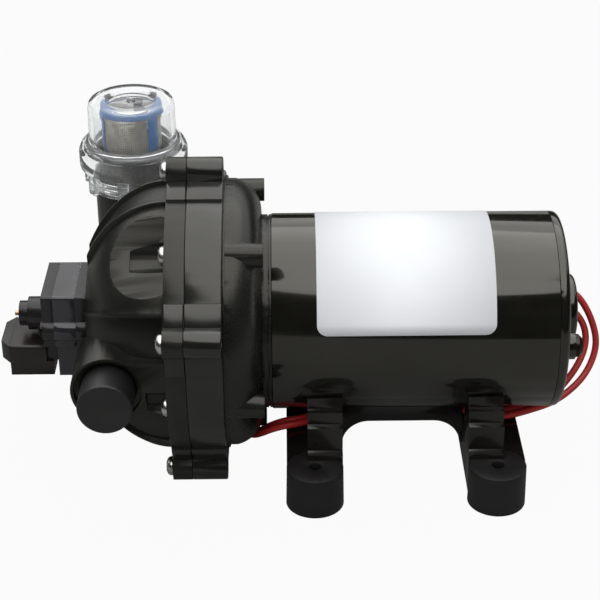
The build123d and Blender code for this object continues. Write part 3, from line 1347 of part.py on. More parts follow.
chamber_x = BACK_PLATE_X - SLIP - PLUNGER_HEAD_THICK - PLUNGER_STROKE - SLIP
with BuildPart() as switch_body:
    with BuildSketch(station(SWITCH_BODY_X)):
        switch_outline()
        Rectangle(2 * TAB_HALF_Y, AXIS_Z - TAB_BOTTOM_Z, align=(Align.CENTER, Align.MAX))
        switch_holes()
    extrude(amount=BACK_PLATE_X - SWITCH_BODY_X)
    with BuildSketch(station(chamber_x)):
        plunger_shape(SLIP, PLUNGER_HEAD_R)
    extrude(amount=BACK_PLATE_X - chamber_x, mode=Mode.SUBTRACT)
    with BuildSketch(station(SWITCH_BODY_X)):
        Circle(PLUNGER_STEM_R + RUNNING)
        with Locations((0, -BUTTON_DROP)):
            Circle(PLUNGER_PIN_R + RUNNING)
    extrude(amount=chamber_x - SWITCH_BODY_X, mode=Mode.SUBTRACT)
finish(switch_body, "switch_body")

with BuildPart() as switch_cover:
    with BuildSketch(station(SWITCH_COVER_X)):
        switch_outline()
        switch_holes()
    extrude(amount=SWITCH_BODY_X - SWITCH_COVER_X)
    with BuildSketch(station(BOSS_BASE_X)):
        Circle(BOSS_BASE_R)
    extrude(amount=SWITCH_COVER_X - BOSS_BASE_X)
    with BuildSketch(station(BOSS_TIP_X)):
        Circle(BOSS_TIP_R)
    extrude(amount=BOSS_BASE_X - BOSS_TIP_X)
    with BuildSketch(station(ADJUSTER_FRONT_X)):
        Circle(ADJUSTER_R + RUNNING)
    extrude(amount=SWITCH_BODY_X - ADJUSTER_FRONT_X, mode=Mode.SUBTRACT)
    with BuildSketch(station(BOSS_TIP_X)):
        Circle(ADJUSTER_TIP_R + RUNNING)
        with Locations((0, -BUTTON_DROP)):
            Circle(PLUNGER_PIN_R + RUNNING)
    extrude(amount=SWITCH_BODY_X - BOSS_TIP_X, mode=Mode.SUBTRACT)
finish(switch_cover, "switch_cover")

button_tip_x = SWITCH_COVER_X + 0.5
with BuildPart() as switch_plunger:
    with BuildSketch(station(BACK_PLATE_X - SLIP)):
        plunger_shape(0, PLUNGER_HEAD_R)
    extrude(amount=-PLUNGER_HEAD_THICK)
    with BuildSketch(station(BACK_PLATE_X - SLIP)):
        Circle(PLUNGER_STEM_R)
    extrude(amount=STEM_END_X - BACK_PLATE_X + SLIP)
    with BuildSketch(station(BACK_PLATE_X - SLIP)):
        with Locations((0, -BUTTON_DROP)):
            Circle(PLUNGER_PIN_R)
    extrude(amount=button_tip_x + RUNNING * 2 - BACK_PLATE_X + SLIP)
finish(switch_plunger, "switch_plunger")

with BuildPart() as switch_spring:
    with BuildSketch(station(ADJUSTER_REAR_X)):
        Circle(SWITCH_SPRING_R)
        Circle(SWITCH_SPRING_BORE_R, mode=Mode.SUBTRACT)
    extrude(amount=STEM_END_X - ADJUSTER_REAR_X)
finish(switch_spring, "switch_spring")

with BuildPart() as adjusting_screw:
    with BuildSketch(station(ADJUSTER_FRONT_X)):
        Circle(ADJUSTER_R)
    extrude(amount=ADJUSTER_REAR_X - ADJUSTER_FRONT_X)
    with BuildSketch(station(ADJUSTER_FRONT_X)):
        Circle(ADJUSTER_TIP_R)
    extrude(amount=ADJUSTER_TIP_X - ADJUSTER_FRONT_X)
finish(adjusting_screw, "adjusting_screw")

with BuildPart() as switch_screws:
    length = SWITCH_SCREW_END_X - SWITCH_COVER_X
    spots = Locations((SWITCH_LUG_Y, 0), (-SWITCH_LUG_Y, 0))
    screws(
        switch_screws,
        facing_nose(SWITCH_COVER_X),
        spots,
        SWITCH_SCREW_HEAD_R,
        SWITCH_SCREW_HEAD,
        SWITCH_SCREW_R,
        length,
    )
finish(switch_screws, "switch_screws")

switch_bottom_z = AXIS_Z - SWITCH_HALF_Z
button_end_x = SWITCH_COVER_X - PLUNGER_STROKE - 1.5
with BuildPart() as microswitch_body:
    with BuildSketch(Plane(origin=(0, MICRO_HALF_Y, 0), x_dir=(1, 0, 0), z_dir=(0, -1, 0))):
        with BuildLine():
            Polyline(
                (MICRO_X, MICRO_BOTTOM_Z),
                (MICRO_FOOT_X, MICRO_BOTTOM_Z),
                (MICRO_FOOT_X, switch_bottom_z - SEATED),
                (SWITCH_COVER_X, switch_bottom_z - SEATED),
                (SWITCH_COVER_X, MICRO_TOP_Z),
                (MICRO_X, MICRO_TOP_Z),
                close=True,
            )
        make_face()
    extrude(amount=2 * MICRO_HALF_Y)
    fillet(microswitch_body.edges().filter_by(Axis.X).sort_by(Axis.Z)[-2:], MICRO_EDGE)
    with BuildSketch(station(SWITCH_COVER_X)):
        with Locations((0, -BUTTON_DROP)):
            Circle(PLUNGER_PIN_R + RUNNING)
    extrude(amount=button_end_x - SWITCH_COVER_X - PLUNGER_STROKE - SLIP, mode=Mode.SUBTRACT)
finish(microswitch_body, "microswitch_body")

with BuildPart() as switch_button:
    with BuildSketch(station(button_tip_x)):
        with Locations((0, -BUTTON_DROP)):
            Circle(PLUNGER_PIN_R)
    extrude(amount=button_end_x - button_tip_x)
finish(switch_button, "switch_button")

with BuildPart() as terminal_cover:
    with BuildSketch(Plane.XY.offset(COVER_BOTTOM_Z)):
        Polygon(
            (MICRO_X, -COVER_HALF_Y),
            (MICRO_X, COVER_HALF_Y),
            (COVER_X, COVER_NOSE_HALF_Y),
            (COVER_X, -COVER_NOSE_HALF_Y),
            align=None,
        )
    extrude(amount=MICRO_TOP_Z - COVER_BOTTOM_Z)
finish(terminal_cover, "terminal_cover")

sleeve_end_y = MICRO_HALF_Y + SLEEVE_LENGTH
with BuildPart() as lead_receptacles:
    for z in SLEEVE_Z:
        facing_away = Plane(origin=(SLEEVE_X, MICRO_HALF_Y, z), x_dir=(1, 0, 0), z_dir=(0, 1, 0))
        with BuildSketch(facing_away):
            RectangleRounded(SLEEVE_WIDTH, SLEEVE_HEIGHT, SLEEVE_HEIGHT / 3)
        extrude(amount=SLEEVE_LENGTH)
finish(lead_receptacles, "lead_receptacles")

# The two leads leave their grommets, loop down behind the tail, run side by side under the can in
# the stand's channel, pass behind the head on the floor and rise to the switch's receptacles.
outer_route = [
    (grommet_face_x, GROMMET_Y, GROMMET_Z[0]),
    (67.0, GROMMET_Y, GROMMET_Z[0]),
    (71.9, 17.6, 53.3),
    (75.6, 15.8, 48.3),
    (78.3, 13.7, 42.5),
    (79.8, 11.1, 36.4),
    (79.0, 8.5, 31.0),
    (75.9, 4.7, 25.4),
    (70.4, -0.4, 21.4),
    (61.6, -6.6, 18.2),
    (50.2, -12.8, 18.1),
    (39.4, -18.0, 18.5),
    (32.0, -15.5, 18.5),
    (24.3, -12.0, 18.55),
    (12.0, -12.0, 18.6),
    (-1.5, -12.05, 18.65),
    (-12.5, -12.0, 18.6),
    (-24.2, -12.05, 18.5),
    (-31.0, -16.0, 18.5),
    (-38.6, -20.5, 18.5),
    (-49.4, -22.6, 17.8),
    (-56.6, -16.4, 10.4),
    (-60.0, -5.6, 3.4),
    (-61.0, 8.0, 1.55),
    (-61.2, 21.0, 1.6),
    (-63.2, 34.0, 1.6),
    (-69.6, 45.4, 1.6),
    (-80.6, 52.9, 1.9),
    (-93.4, 55.8, 2.5),
    (-106.4, 55.8, 4.8),
    (-118.6, 53.6, 9.0),
    (-127.8, 50.2, 14.8),
    (-133.6, 46.9, 20.6),
    (-138.0, 43.4, 26.6),
    (-141.0, 41.8, 33.2),
    (SLEEVE_X, 37.6, 38.1),
    (SLEEVE_X, 32.0, SLEEVE_Z[1]),
    (SLEEVE_X, sleeve_end_y, SLEEVE_Z[1]),
]
inner_route = [
    (grommet_face_x, GROMMET_Y, GROMMET_Z[1]),
    (67.0, GROMMET_Y, GROMMET_Z[1]),
    (71.7, 17.2, 45.7),
    (75.0, 14.6, 41.2),
    (75.8, 11.8, 36.4),
    (74.6, 8.8, 31.9),
    (71.6, 5.2, 27.2),
    (66.8, 1.4, 22.2),
    (60.0, -3.7, 17.5),
    (49.8, -9.2, 18.2),
    (39.6, -14.0, 18.5),
    (31.6, -12.0, 18.5),
    (23.0, -8.95, 18.5),
    (11.0, -8.9, 18.6),
    (-2.0, -8.95, 18.65),
    (-13.0, -8.9, 18.6),
    (-23.6, -9.0, 18.5),
    (-31.4, -12.4, 18.5),
    (-37.5, -16.9, 18.5),
    (-46.4, -18.6, 18.3),
    (-52.8, -15.0, 13.2),
    (-56.4, -8.4, 6.6),
    (-57.3, -0.5, 2.2),
    (-57.4, 9.5, 1.55),
    (-57.5, 20.5, 1.6),
    (-58.6, 33.4, 1.6),
    (-62.8, 45.6, 1.6),
    (-73.0, 55.0, 1.8),
    (-85.6, 59.0, 2.4),
    (-98.6, 60.0, 4.2),
    (-111.2, 58.8, 7.8),
    (-122.0, 56.2, 13.4),
    (-130.2, 53.2, 20.2),
    (-135.8, 49.8, 27.4),
    (-139.5, 45.6, 34.4),
    (-141.6, 40.6, 40.4),
    (SLEEVE_X, 35.9, 44.3),
    (SLEEVE_X, 31.2, SLEEVE_Z[0]),
    (SLEEVE_X, sleeve_end_y, SLEEVE_Z[0]),
]


def bend_radii(route):
    """The radius at each corner of a route: as large as its two runs allow."""
    points = [Vector(*point) for point in route]
    radii = []
    for before, here, after in zip(points, points[1:], points[2:]):
        coming = here - before
        going = after - here
        half_turn = radians(coming.get_angle(going)) / 2
        radii.append(ROUTE_SHARE * min(coming.length, going.length) / tan(half_turn))
    return radii


def lead(route, name):
    """A lead's tube: straight runs joined by tangent arcs."""
    radii = bend_radii(route)
    with BuildPart() as tube:
        with BuildLine() as path:
            FilletPolyline(*route, radius=radii)
        start = Vector(*route[1]) - Vector(*route[0])
        with BuildSketch(Plane(origin=route[0], z_dir=start)) as section:
            RegularPolygon(LEAD_R, ROUND_SIDES)
        sweep(path=path.line)
    finish(tube, name)
    length = sum(edge.length for edge in path.edges())
    prism = section.sketch.area * length
    print(f"{name}: length {length:.1f}, tightest radius {min(radii):.1f}")
    print(f"{name}: volume over section times length {tube.part.volume / prism:.5f}")


lead(outer_route, "lead_outer")
lead(inner_route, "lead_inner")
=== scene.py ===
# %% [markdown]
# A motor-driven diaphragm pump for a caravan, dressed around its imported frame. The frame holds every
# piece at its real size, and this lesson adds what the eye reads: moulded grain, gloss paint,
# zinc screw heads, a clear bowl and two soft leads. Blender works in metres here, and sizes of
# pieces are written in millimetres and multiplied by MM.

# %% Load the frame
import math

import bmesh
import bpy
from mathutils import Matrix, Vector


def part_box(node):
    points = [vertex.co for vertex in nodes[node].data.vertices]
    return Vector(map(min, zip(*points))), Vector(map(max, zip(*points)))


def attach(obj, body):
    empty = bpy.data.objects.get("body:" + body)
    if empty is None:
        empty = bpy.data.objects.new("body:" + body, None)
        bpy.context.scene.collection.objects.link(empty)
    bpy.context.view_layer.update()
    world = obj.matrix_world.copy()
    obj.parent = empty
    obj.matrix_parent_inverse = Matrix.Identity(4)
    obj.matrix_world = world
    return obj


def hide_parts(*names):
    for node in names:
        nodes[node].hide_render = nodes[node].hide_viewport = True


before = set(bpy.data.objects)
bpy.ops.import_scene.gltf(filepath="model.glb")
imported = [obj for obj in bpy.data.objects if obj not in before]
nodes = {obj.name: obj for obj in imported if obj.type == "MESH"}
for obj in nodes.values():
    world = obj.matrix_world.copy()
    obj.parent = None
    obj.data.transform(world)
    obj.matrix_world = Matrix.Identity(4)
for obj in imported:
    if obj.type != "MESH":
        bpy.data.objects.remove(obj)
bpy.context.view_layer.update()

# %% [markdown]
# The camera comes first, because every later judgement is made through it. It stands about two
# thirds of a metre from the pump, looks down at nearly 29 degrees, and has a long lens, so the can's
# edges stay almost parallel. A Track To constraint could aim it, but it would keep the picture
# level, and this one rolls by a third of a degree, so the axes are worked out from three angles.

# %% Camera
MM = 0.001
EYE = Vector((-44.0, -564.6, 372.7)) * MM
LOOK_DOWN = math.radians(28.831)
TURN = math.radians(-0.457)
ROLL = math.radians(0.316)
LENS_MM = 99.49
SENSOR_MM = 36.0


def linked(name, data):
    """A new object that shows the given data, in the scene."""
    new_object = bpy.data.objects.new(name, data)
    bpy.context.scene.collection.objects.link(new_object)
    return new_object


def camera_axes():
    """The camera's right, up and backward directions."""
    ahead = Vector((-math.sin(TURN) * math.cos(LOOK_DOWN), math.cos(TURN) * math.cos(LOOK_DOWN),
                    -math.sin(LOOK_DOWN)))
    flat_right = Vector((math.cos(TURN), math.sin(TURN), 0))
    flat_up = flat_right.cross(ahead)
    right = math.cos(ROLL) * flat_right - math.sin(ROLL) * flat_up
    up = math.sin(ROLL) * flat_right + math.cos(ROLL) * flat_up
    return right, up, -ahead


camera_data = bpy.data.cameras.new("camera")
camera_data.lens = LENS_MM
camera_data.sensor_width = SENSOR_MM
camera = linked("camera", camera_data)
camera.matrix_world = Matrix.Translation(EYE) @ Matrix(camera_axes()).transposed().to_4x4()
bpy.context.scene.camera = camera
bpy.context.scene.view_settings.view_transform = "Standard"
print("camera at", tuple(round(value, 3) for value in EYE))

# %% [markdown]
# The two red leads are the pump's only soft pieces. Each could be a swept mesh, but a curve with a
# round bevel keeps its route easy to move. The control points are the turning points of the route:
# out of the tail, down, through the stand's channel under the can, along the floor behind the head
# and up into the switch. The bevel is one metre and each point's radius scales it down, which keeps
# the curve's box tight.

# %% Leads
LEAD_R = 1.35 * MM
LEAD_SIDES = 6
LEAD_STEPS = 10
PUMP = "pump"
SLEEVE_END = (-142.0, 24.5)
outer_lead_points = [
    (62.0, 18.5, 55.9), (67.0, 18.5, 55.9), (71.9, 17.6, 53.3), (75.6, 15.8, 48.3),
    (78.3, 13.7, 42.5), (79.8, 11.1, 36.4), (79.0, 8.5, 31.0), (75.9, 4.7, 25.4),
    (70.4, -0.4, 21.4), (61.6, -6.6, 18.2), (50.2, -12.8, 18.1), (39.4, -18.0, 18.5),
    (32.0, -15.5, 18.5), (24.3, -12.0, 18.55), (12.0, -12.0, 18.6), (-1.5, -12.05, 18.65),
    (-12.5, -12.0, 18.6), (-24.2, -12.05, 18.5), (-31.0, -16.0, 18.5), (-38.6, -20.5, 18.5),
    (-49.4, -22.6, 17.8), (-56.6, -16.4, 10.4), (-60.0, -5.6, 3.4), (-61.0, 8.0, 1.55),
    (-61.2, 21.0, 1.6), (-63.2, 34.0, 1.6), (-69.6, 45.4, 1.6), (-80.6, 52.9, 1.9),
    (-93.4, 55.8, 2.5), (-106.4, 55.8, 4.8), (-118.6, 53.6, 9.0), (-127.8, 50.2, 14.8),
    (-133.6, 46.9, 20.6), (-138.0, 43.4, 26.6), (-141.0, 41.8, 33.2), (-142.0, 37.6, 38.1),
    (-142.0, 32.0, 40.4), (*SLEEVE_END, 40.4),
]
inner_lead_points = [
    (62.0, 18.5, 47.6), (67.0, 18.5, 47.6), (71.7, 17.2, 45.7), (75.0, 14.6, 41.2),
    (75.8, 11.8, 36.4), (74.6, 8.8, 31.9), (71.6, 5.2, 27.2), (66.8, 1.4, 22.2),
    (60.0, -3.7, 17.5), (49.8, -9.2, 18.2), (39.6, -14.0, 18.5), (31.6, -12.0, 18.5),
    (23.0, -8.95, 18.5), (11.0, -8.9, 18.6), (-2.0, -8.95, 18.65), (-13.0, -8.9, 18.6),
    (-23.6, -9.0, 18.5), (-31.4, -12.4, 18.5), (-37.5, -16.9, 18.5), (-46.4, -18.6, 18.3),
    (-52.8, -15.0, 13.2), (-56.4, -8.4, 6.6), (-57.3, -0.5, 2.2), (-57.4, 9.5, 1.55),
    (-57.5, 20.5, 1.6), (-58.6, 33.4, 1.6), (-62.8, 45.6, 1.6), (-73.0, 55.0, 1.8),
    (-85.6, 59.0, 2.4), (-98.6, 60.0, 4.2), (-111.2, 58.8, 7.8), (-122.0, 56.2, 13.4),
    (-130.2, 53.2, 20.2), (-135.8, 49.8, 27.4), (-139.5, 45.6, 34.4), (-141.6, 40.6, 40.4),
    (-142.0, 35.9, 44.3), (-142.0, 31.2, 46.0), (*SLEEVE_END, 46.0),
]


def make_lead(name, points_mm):
    """A soft lead along its route."""
    curve = bpy.data.curves.new(name, "CURVE")
    curve.dimensions = "3D"
    curve.resolution_u = LEAD_STEPS
    curve.bevel_depth = 1.0
    curve.bevel_resolution = LEAD_SIDES
    curve.use_fill_caps = True
    spline = curve.splines.new("NURBS")
    spline.points.add(len(points_mm) - 1)
    for point, place in zip(spline.points, points_mm):
        point.co = (*(Vector(place) * MM), 1)
        point.radius = LEAD_R
    spline.order_u = 3
    spline.use_endpoint_u = True
    lead = linked(name + "_flex", curve)
    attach(lead, PUMP)
    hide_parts(name)
    return lead


leads = [make_lead("lead_outer", outer_lead_points),
         make_lead("lead_inner", inner_lead_points)]
print("leads:", [lead.name for lead in leads])

# %% [markdown]
# The studio is a white sweep. Light reaches the pump from a grey sky, and rays that only look, which
# are those of the camera, of gloss and of glass, see a white one. A bright backdrop would need more
# light on the pump, while the Light Path node tells the kinds of ray apart at no cost.

# %% Sky
SKY_LEVEL = 0.58


def looked_at_by(tree, kinds):
    """An output that is 1 for rays of the given kinds."""
    path = tree.nodes.new("ShaderNodeLightPath")
    seen = path.outputs[kinds[0]]
    for kind in kinds[1:]:
        either = tree.nodes.new("ShaderNodeMath")
        either.operation = "MAXIMUM"
        tree.links.new(seen, either.inputs[0])
        tree.links.new(path.outputs[kind], either.inputs[1])
        seen = either.outputs[0]
    return seen


def make_sky():
    """A grey sky for light, white where it is looked at."""
    world = bpy.data.worlds.new("studio")
    bpy.context.scene.world = world
    world.use_nodes = True
    tree = world.node_tree
    tree.nodes.clear()
    looked_at = looked_at_by(tree, ["Is Camera Ray", "Is Glossy Ray", "Is Transmission Ray"])
    mix = tree.nodes.new("ShaderNodeMixShader")
    tree.links.new(looked_at, mix.inputs[0])
    for slot_index, level in ((1, SKY_LEVEL), (2, 1.0)):
        background = tree.nodes.new("ShaderNodeBackground")
        background.inputs["Color"].default_value = (1, 1, 1, 1)
        background.inputs["Strength"].default_value = level
        tree.links.new(background.outputs[0], mix.inputs[slot_index])
    output = tree.nodes.new("ShaderNodeOutputWorld")
    tree.links.new(mix.outputs[0], output.inputs["Surface"])


make_sky()
print("sky level", SKY_LEVEL)

# %% [markdown]
# The table is one wide sheet. To light and gloss it is a mid grey, so little is thrown back up at
# the pump's underside. To the camera, and through the clear bowl, nearly all of it is white glow, and
# what is left of the grey still takes a trace of shadow under the feet.

# %% Floor
FLOOR_HALF = 3.0
FLOOR_GREY = (0.24, 0.24, 0.235)
FLOOR_ROUGHNESS = 0.9
FLOOR_SPECULAR = 0.1
FLOOR_GLOW = 0.95


def bare_material(name, colour, roughness):
    """A new material and its shader, with one colour and one roughness."""
    material = bpy.data.materials.new(name)
    material.use_nodes = True
    shader = material.node_tree.nodes["Principled BSDF"]
    shader.inputs["Base Color"].default_value = (*colour, 1)
    shader.inputs["Roughness"].default_value = roughness
    return material, shader


def plain_object(name, points, faces):
    """A mesh object from points and faces, linked to the scene."""
    mesh = bpy.data.meshes.new(name)
    mesh.from_pydata(points, [], faces)
    return linked(name, mesh)


def make_floor():
    """A diffuse sheet, whitened where the camera or clear plastic looks at it."""
    corners = [(-FLOOR_HALF, -FLOOR_HALF, 0), (FLOOR_HALF, -FLOOR_HALF, 0),
               (FLOOR_HALF, FLOOR_HALF, 0), (-FLOOR_HALF, FLOOR_HALF, 0)]
    floor = plain_object("floor", corners, [(0, 1, 2, 3)])
    material, shader = bare_material("floor_white", FLOOR_GREY, FLOOR_ROUGHNESS)
    shader.inputs["Specular IOR Level"].default_value = FLOOR_SPECULAR
    tree = material.node_tree
    glow = tree.nodes.new("ShaderNodeEmission")
    glow.inputs["Strength"].default_value = 1.0
    share = tree.nodes.new("ShaderNodeMath")
    share.operation = "MULTIPLY"
    share.inputs[1].default_value = FLOOR_GLOW
    tree.links.new(looked_at_by(tree, ["Is Camera Ray", "Is Transmission Ray"]), share.inputs[0])
    mix = tree.nodes.new("ShaderNodeMixShader")
    tree.links.new(share.outputs[0], mix.inputs[0])
    tree.links.new(shader.outputs[0], mix.inputs[1])
    tree.links.new(glow.outputs[0], mix.inputs[2])
    tree.links.new(mix.outputs[0], tree.nodes["Material Output"].inputs["Surface"])
    floor.data.materials.append(material)


make_floor()
print("floor glow", FLOOR_GLOW)

# %% [markdown]
# Black gloss shows nothing but what it mirrors, so a dark ring of cards stands round the table, as a
# photographer would put it, and the paint mirrors it as the dark band under the bright one. Its
# height sets where the band ends on the can: the pump sees the front's top edge at about 41 degrees
# and the back's at about 18. Only glossy rays meet it, so it casts no shadow and hides nothing.

# %% Ring of dark cards
RING_R = 1.1
RING_BOTTOM_Z = -0.02
RING_FRONT_TOP_Z = 1.02
RING_BACK_TOP_Z = 0.42
RING_CARDS = 48
CARD_BLACK = (0.02, 0.02, 0.02)


def make_card_ring():
    """A cylinder of dark cards that only glossy rays meet."""
    points = []
    for top in (False, True):
        for card in range(RING_CARDS):
            turn = math.tau * card / RING_CARDS
            height = RING_BACK_TOP_Z if math.sin(turn) > 0 else RING_FRONT_TOP_Z
            points.append((RING_R * math.cos(turn), RING_R * math.sin(turn),
                           height if top else RING_BOTTOM_Z))
    faces = [(card, (card + 1) % RING_CARDS, RING_CARDS + (card + 1) % RING_CARDS, RING_CARDS + card)
             for card in range(RING_CARDS)]
    ring = plain_object("card_ring", points, faces)
    material, shader = bare_material("card_black", CARD_BLACK, 1.0)
    shader.inputs["Specular IOR Level"].default_value = 0.0
    ring.data.materials.append(material)
    ring.visible_camera = False
    ring.visible_diffuse = False
    ring.visible_transmission = False
    ring.visible_shadow = False
    return ring


card_ring = make_card_ring()
print("ring of", len(card_ring.data.polygons), "cards")

# %% [markdown]
# One broad softbox overhead draws the long bright band along the can, and a small lamp in front
# lifts the near side of the head. Area lamps are used because their size sets how soft the edge of a
# highlight is. Gloss doesn't mirror the front lamp, because it would put a second, square highlight
# on the can.

# %% Lamps
SOFTBOX_PLACE = (-0.05, 0.1, 1.3)
SOFTBOX_AIM = (-0.05, 0.1, 0)
SOFTBOX_SIZE = (2.2, 2.8)
SOFTBOX_WATTS = 21.0
FILL_PLACE = (-0.4, -1.0, 0.55)
FILL_SIZE = (0.7, 0.5)
FILL_WATTS = 2.5
PUMP_MIDDLE = (-0.03, 0.0, 0.06)


def make_lamp(name, place, aim, size, power):
    """An area lamp at place, facing aim. size is (width, height) in metres."""
    data = bpy.data.lights.new(name, "AREA")
    data.shape = "RECTANGLE"
    data.size, data.size_y = size
    data.energy = power
    lamp = linked(name, data)
    lamp.location = place
    lamp.rotation_euler = (Vector(aim) - Vector(place)).to_track_quat("-Z", "Y").to_euler()
    return lamp


softbox = make_lamp("softbox", SOFTBOX_PLACE, SOFTBOX_AIM, SOFTBOX_SIZE, SOFTBOX_WATTS)
fill = make_lamp("front_fill", FILL_PLACE, PUMP_MIDDLE, FILL_SIZE, FILL_WATTS)
fill.visible_glossy = False
print("lamps:", softbox.name, fill.name)

# %% [markdown]
# Every finish is a small node tree on Object coordinates, which stay put on a piece as it moves. A
# flat colour looks like a computer's plastic, so two things are added to it: a tone that drifts a
# little over the surface, and a fine grain that speckles the gloss and raises a bump at the real
# grain's size. An image could do the same, but noise needs no unwrapping and never repeats.

# %% Finish helpers
RAMP_PLACES = (0.35, 0.65)
TONE_SIZE = 22 * MM
GRAIN_DETAIL = 3.0
finishes = {}


def shader_of(name, colour, roughness, **constants):
    """A new material and its Principled shader, with constant sockets, kept among the finishes."""
    material, shader = bare_material(name, colour, roughness)
    for socket, value in constants.items():
        shader.inputs[socket.replace("_", " ")].default_value = value
    finishes[name] = material
    return material, shader


def noise_on(material, size, detail=2.0, stretch=(1, 1, 1)):
    """A noise whose features are about size metres across, on Object coordinates."""
    tree = material.node_tree
    coordinates = tree.nodes.new("ShaderNodeTexCoord")
    mapping = tree.nodes.new("ShaderNodeMapping")
    mapping.inputs["Scale"].default_value = stretch
    noise = tree.nodes.new("ShaderNodeTexNoise")
    noise.inputs["Scale"].default_value = 1 / size
    noise.inputs["Detail"].default_value = detail
    tree.links.new(coordinates.outputs["Object"], mapping.inputs["Vector"])
    tree.links.new(mapping.outputs[0], noise.inputs["Vector"])
    return noise.outputs["Fac"]


def ramp_to(material, shader, factor, socket, low, high):
    """Drive a colour or roughness socket from a factor, between two values."""
    tree = material.node_tree
    ramp = tree.nodes.new("ShaderNodeValToRGB")
    for stop, place, value in zip(ramp.color_ramp.elements, RAMP_PLACES, (low, high)):
        stop.position = place
        stop.color = (*value, 1) if isinstance(value, tuple) else (value, value, value, 1)
    tree.links.new(factor, ramp.inputs[0])
    tree.links.new(ramp.outputs[0], shader.inputs[socket])


def bump_from(material, shader, factor, strength, height):
    """Raise the surface by a factor, height metres at full strength."""
    tree = material.node_tree
    bump = tree.nodes.new("ShaderNodeBump")
    bump.inputs["Strength"].default_value = strength
    bump.inputs["Distance"].default_value = height
    tree.links.new(factor, bump.inputs["Height"])
    tree.links.new(bump.outputs[0], shader.inputs["Normal"])


def moulded(name, dark, light, smooth, rough, grain_mm, height_mm, **constants):
    """A moulded or painted finish: drifting tone, speckled gloss and a fine grain."""
    material, shader = shader_of(name, dark, smooth, **constants)
    drift = noise_on(material, TONE_SIZE)
    ramp_to(material, shader, drift, "Base Color", dark, light)
    fine = noise_on(material, grain_mm * MM, detail=GRAIN_DETAIL)
    ramp_to(material, shader, fine, "Roughness", smooth, rough)
    bump_from(material, shader, fine, 1.0, height_mm * MM)


print("tone drifts over", round(TONE_SIZE / MM), "mm")

# %% [markdown]
# The head is glass-filled nylon: nearly black, with a fine speckled grain that keeps its highlights
# soft. The ring behind it and the bell come from a smoother tool, and the transit plug is a duller,
# neutral black. The nylon's highlights lean to olive, which the specular tint gives at no cost to
# the black. Each row gives two tones, two roughnesses, the grain's size and its height.

# %% Head, ring, bell and plug
OLIVE_GLOSS = (1.0, 0.98, 0.88, 1)
moulded("head_black", (0.007, 0.007, 0.006), (0.012, 0.012, 0.010), 0.30, 0.40, 0.5, 0.005,
        Specular_Tint=OLIVE_GLOSS)
moulded("ring_black", (0.007, 0.007, 0.006), (0.011, 0.011, 0.009), 0.20, 0.26, 0.7, 0.002,
        Specular_Tint=OLIVE_GLOSS, Coat_Weight=0.4, Coat_Roughness=0.2)
moulded("plug_black", (0.010, 0.010, 0.010), (0.015, 0.015, 0.015), 0.42, 0.52, 0.5, 0.004)
moulded("bell_black", (0.007, 0.007, 0.006), (0.011, 0.011, 0.009), 0.26, 0.34, 0.6, 0.004,
        Specular_Tint=OLIVE_GLOSS)
print("head finishes:", len(finishes))

# %% [markdown]
# The can is painted steel and the stand is a glossy moulding, so their grain is only the slight
# orange peel of a smooth skin. A clear coat over the can's paint gives it a second, sharper
# reflection, as lacquer does. The feet and the seals are rubber, which is rougher.

# %% Can, stand and rubber
LACQUER_TINT = (1.0, 0.98, 0.9, 1)
moulded("can_paint", (0.005, 0.005, 0.004), (0.008, 0.008, 0.006), 0.14, 0.18, 2.2, 0.002,
        Coat_Weight=0.7, Coat_Roughness=0.08, Specular_Tint=OLIVE_GLOSS, Coat_Tint=LACQUER_TINT)
moulded("stand_gloss", (0.006, 0.005, 0.005), (0.009, 0.008, 0.007), 0.14, 0.20, 1.6, 0.001)
moulded("foot_rubber", (0.009, 0.008, 0.008), (0.013, 0.012, 0.012), 0.40, 0.50, 0.5, 0.006,
        Specular_IOR_Level=0.35)
moulded("seal_rubber", (0.006, 0.006, 0.006), (0.010, 0.010, 0.010), 0.45, 0.58, 0.4, 0.01)
print("finishes so far:", len(finishes))

# %% [markdown]
# The pressure switch is a stack of mouldings that differ a little in tint: a slightly purple body,
# black plates, a brownish snap switch and a greenish terminal cover. The steps between them are too
# small for separate colours to look painted on, and they are what makes the stack read as pieces.

# %% Pressure switch
moulded("switch_purple", (0.016, 0.015, 0.019), (0.021, 0.020, 0.025), 0.16, 0.20, 0.6, 0.001,
        Coat_Weight=0.5, Coat_Roughness=0.1)
moulded("switch_black", (0.010, 0.009, 0.010), (0.014, 0.013, 0.014), 0.22, 0.30, 0.6, 0.002)
moulded("micro_brown", (0.012, 0.009, 0.008), (0.018, 0.014, 0.012), 0.32, 0.42, 0.5, 0.004)
moulded("cover_green", (0.016, 0.017, 0.013), (0.021, 0.023, 0.018), 0.42, 0.52, 0.5, 0.004)
print("finishes so far:", len(finishes))

# %% [markdown]
# The rest are the white and blue plastics of the insides and the strainer's basket, the label's
# vinyl, the leads' red PVC and the matt dark grey of the magnets and brushes. The vinyl is kept
# below full white and low in gloss, so the softbox doesn't burn it out.

# %% Label, leads and insides
moulded("white_plastic", (0.70, 0.70, 0.67), (0.78, 0.78, 0.75), 0.35, 0.48, 0.6, 0.004)
moulded("blue_plastic", (0.001, 0.095, 0.30), (0.002, 0.125, 0.38), 0.30, 0.40, 0.8, 0.003)
moulded("label_vinyl", (0.80, 0.82, 0.85), (0.83, 0.85, 0.88), 0.50, 0.54, 3.0, 0.0003,
        Specular_IOR_Level=0.2)
moulded("red_pvc", (0.36, 0.016, 0.016), (0.44, 0.026, 0.022), 0.36, 0.46, 1.2, 0.004)
moulded("ferrite", (0.030, 0.030, 0.032), (0.050, 0.050, 0.052), 0.55, 0.75, 0.5, 0.02)
print("finishes so far:", len(finishes))

# %% [markdown]
# Metals are the same idea with the metal socket up. Turned and drawn steel carries fine scratches
# along its length, and a noise that is stretched along X gives them without a drawn texture.

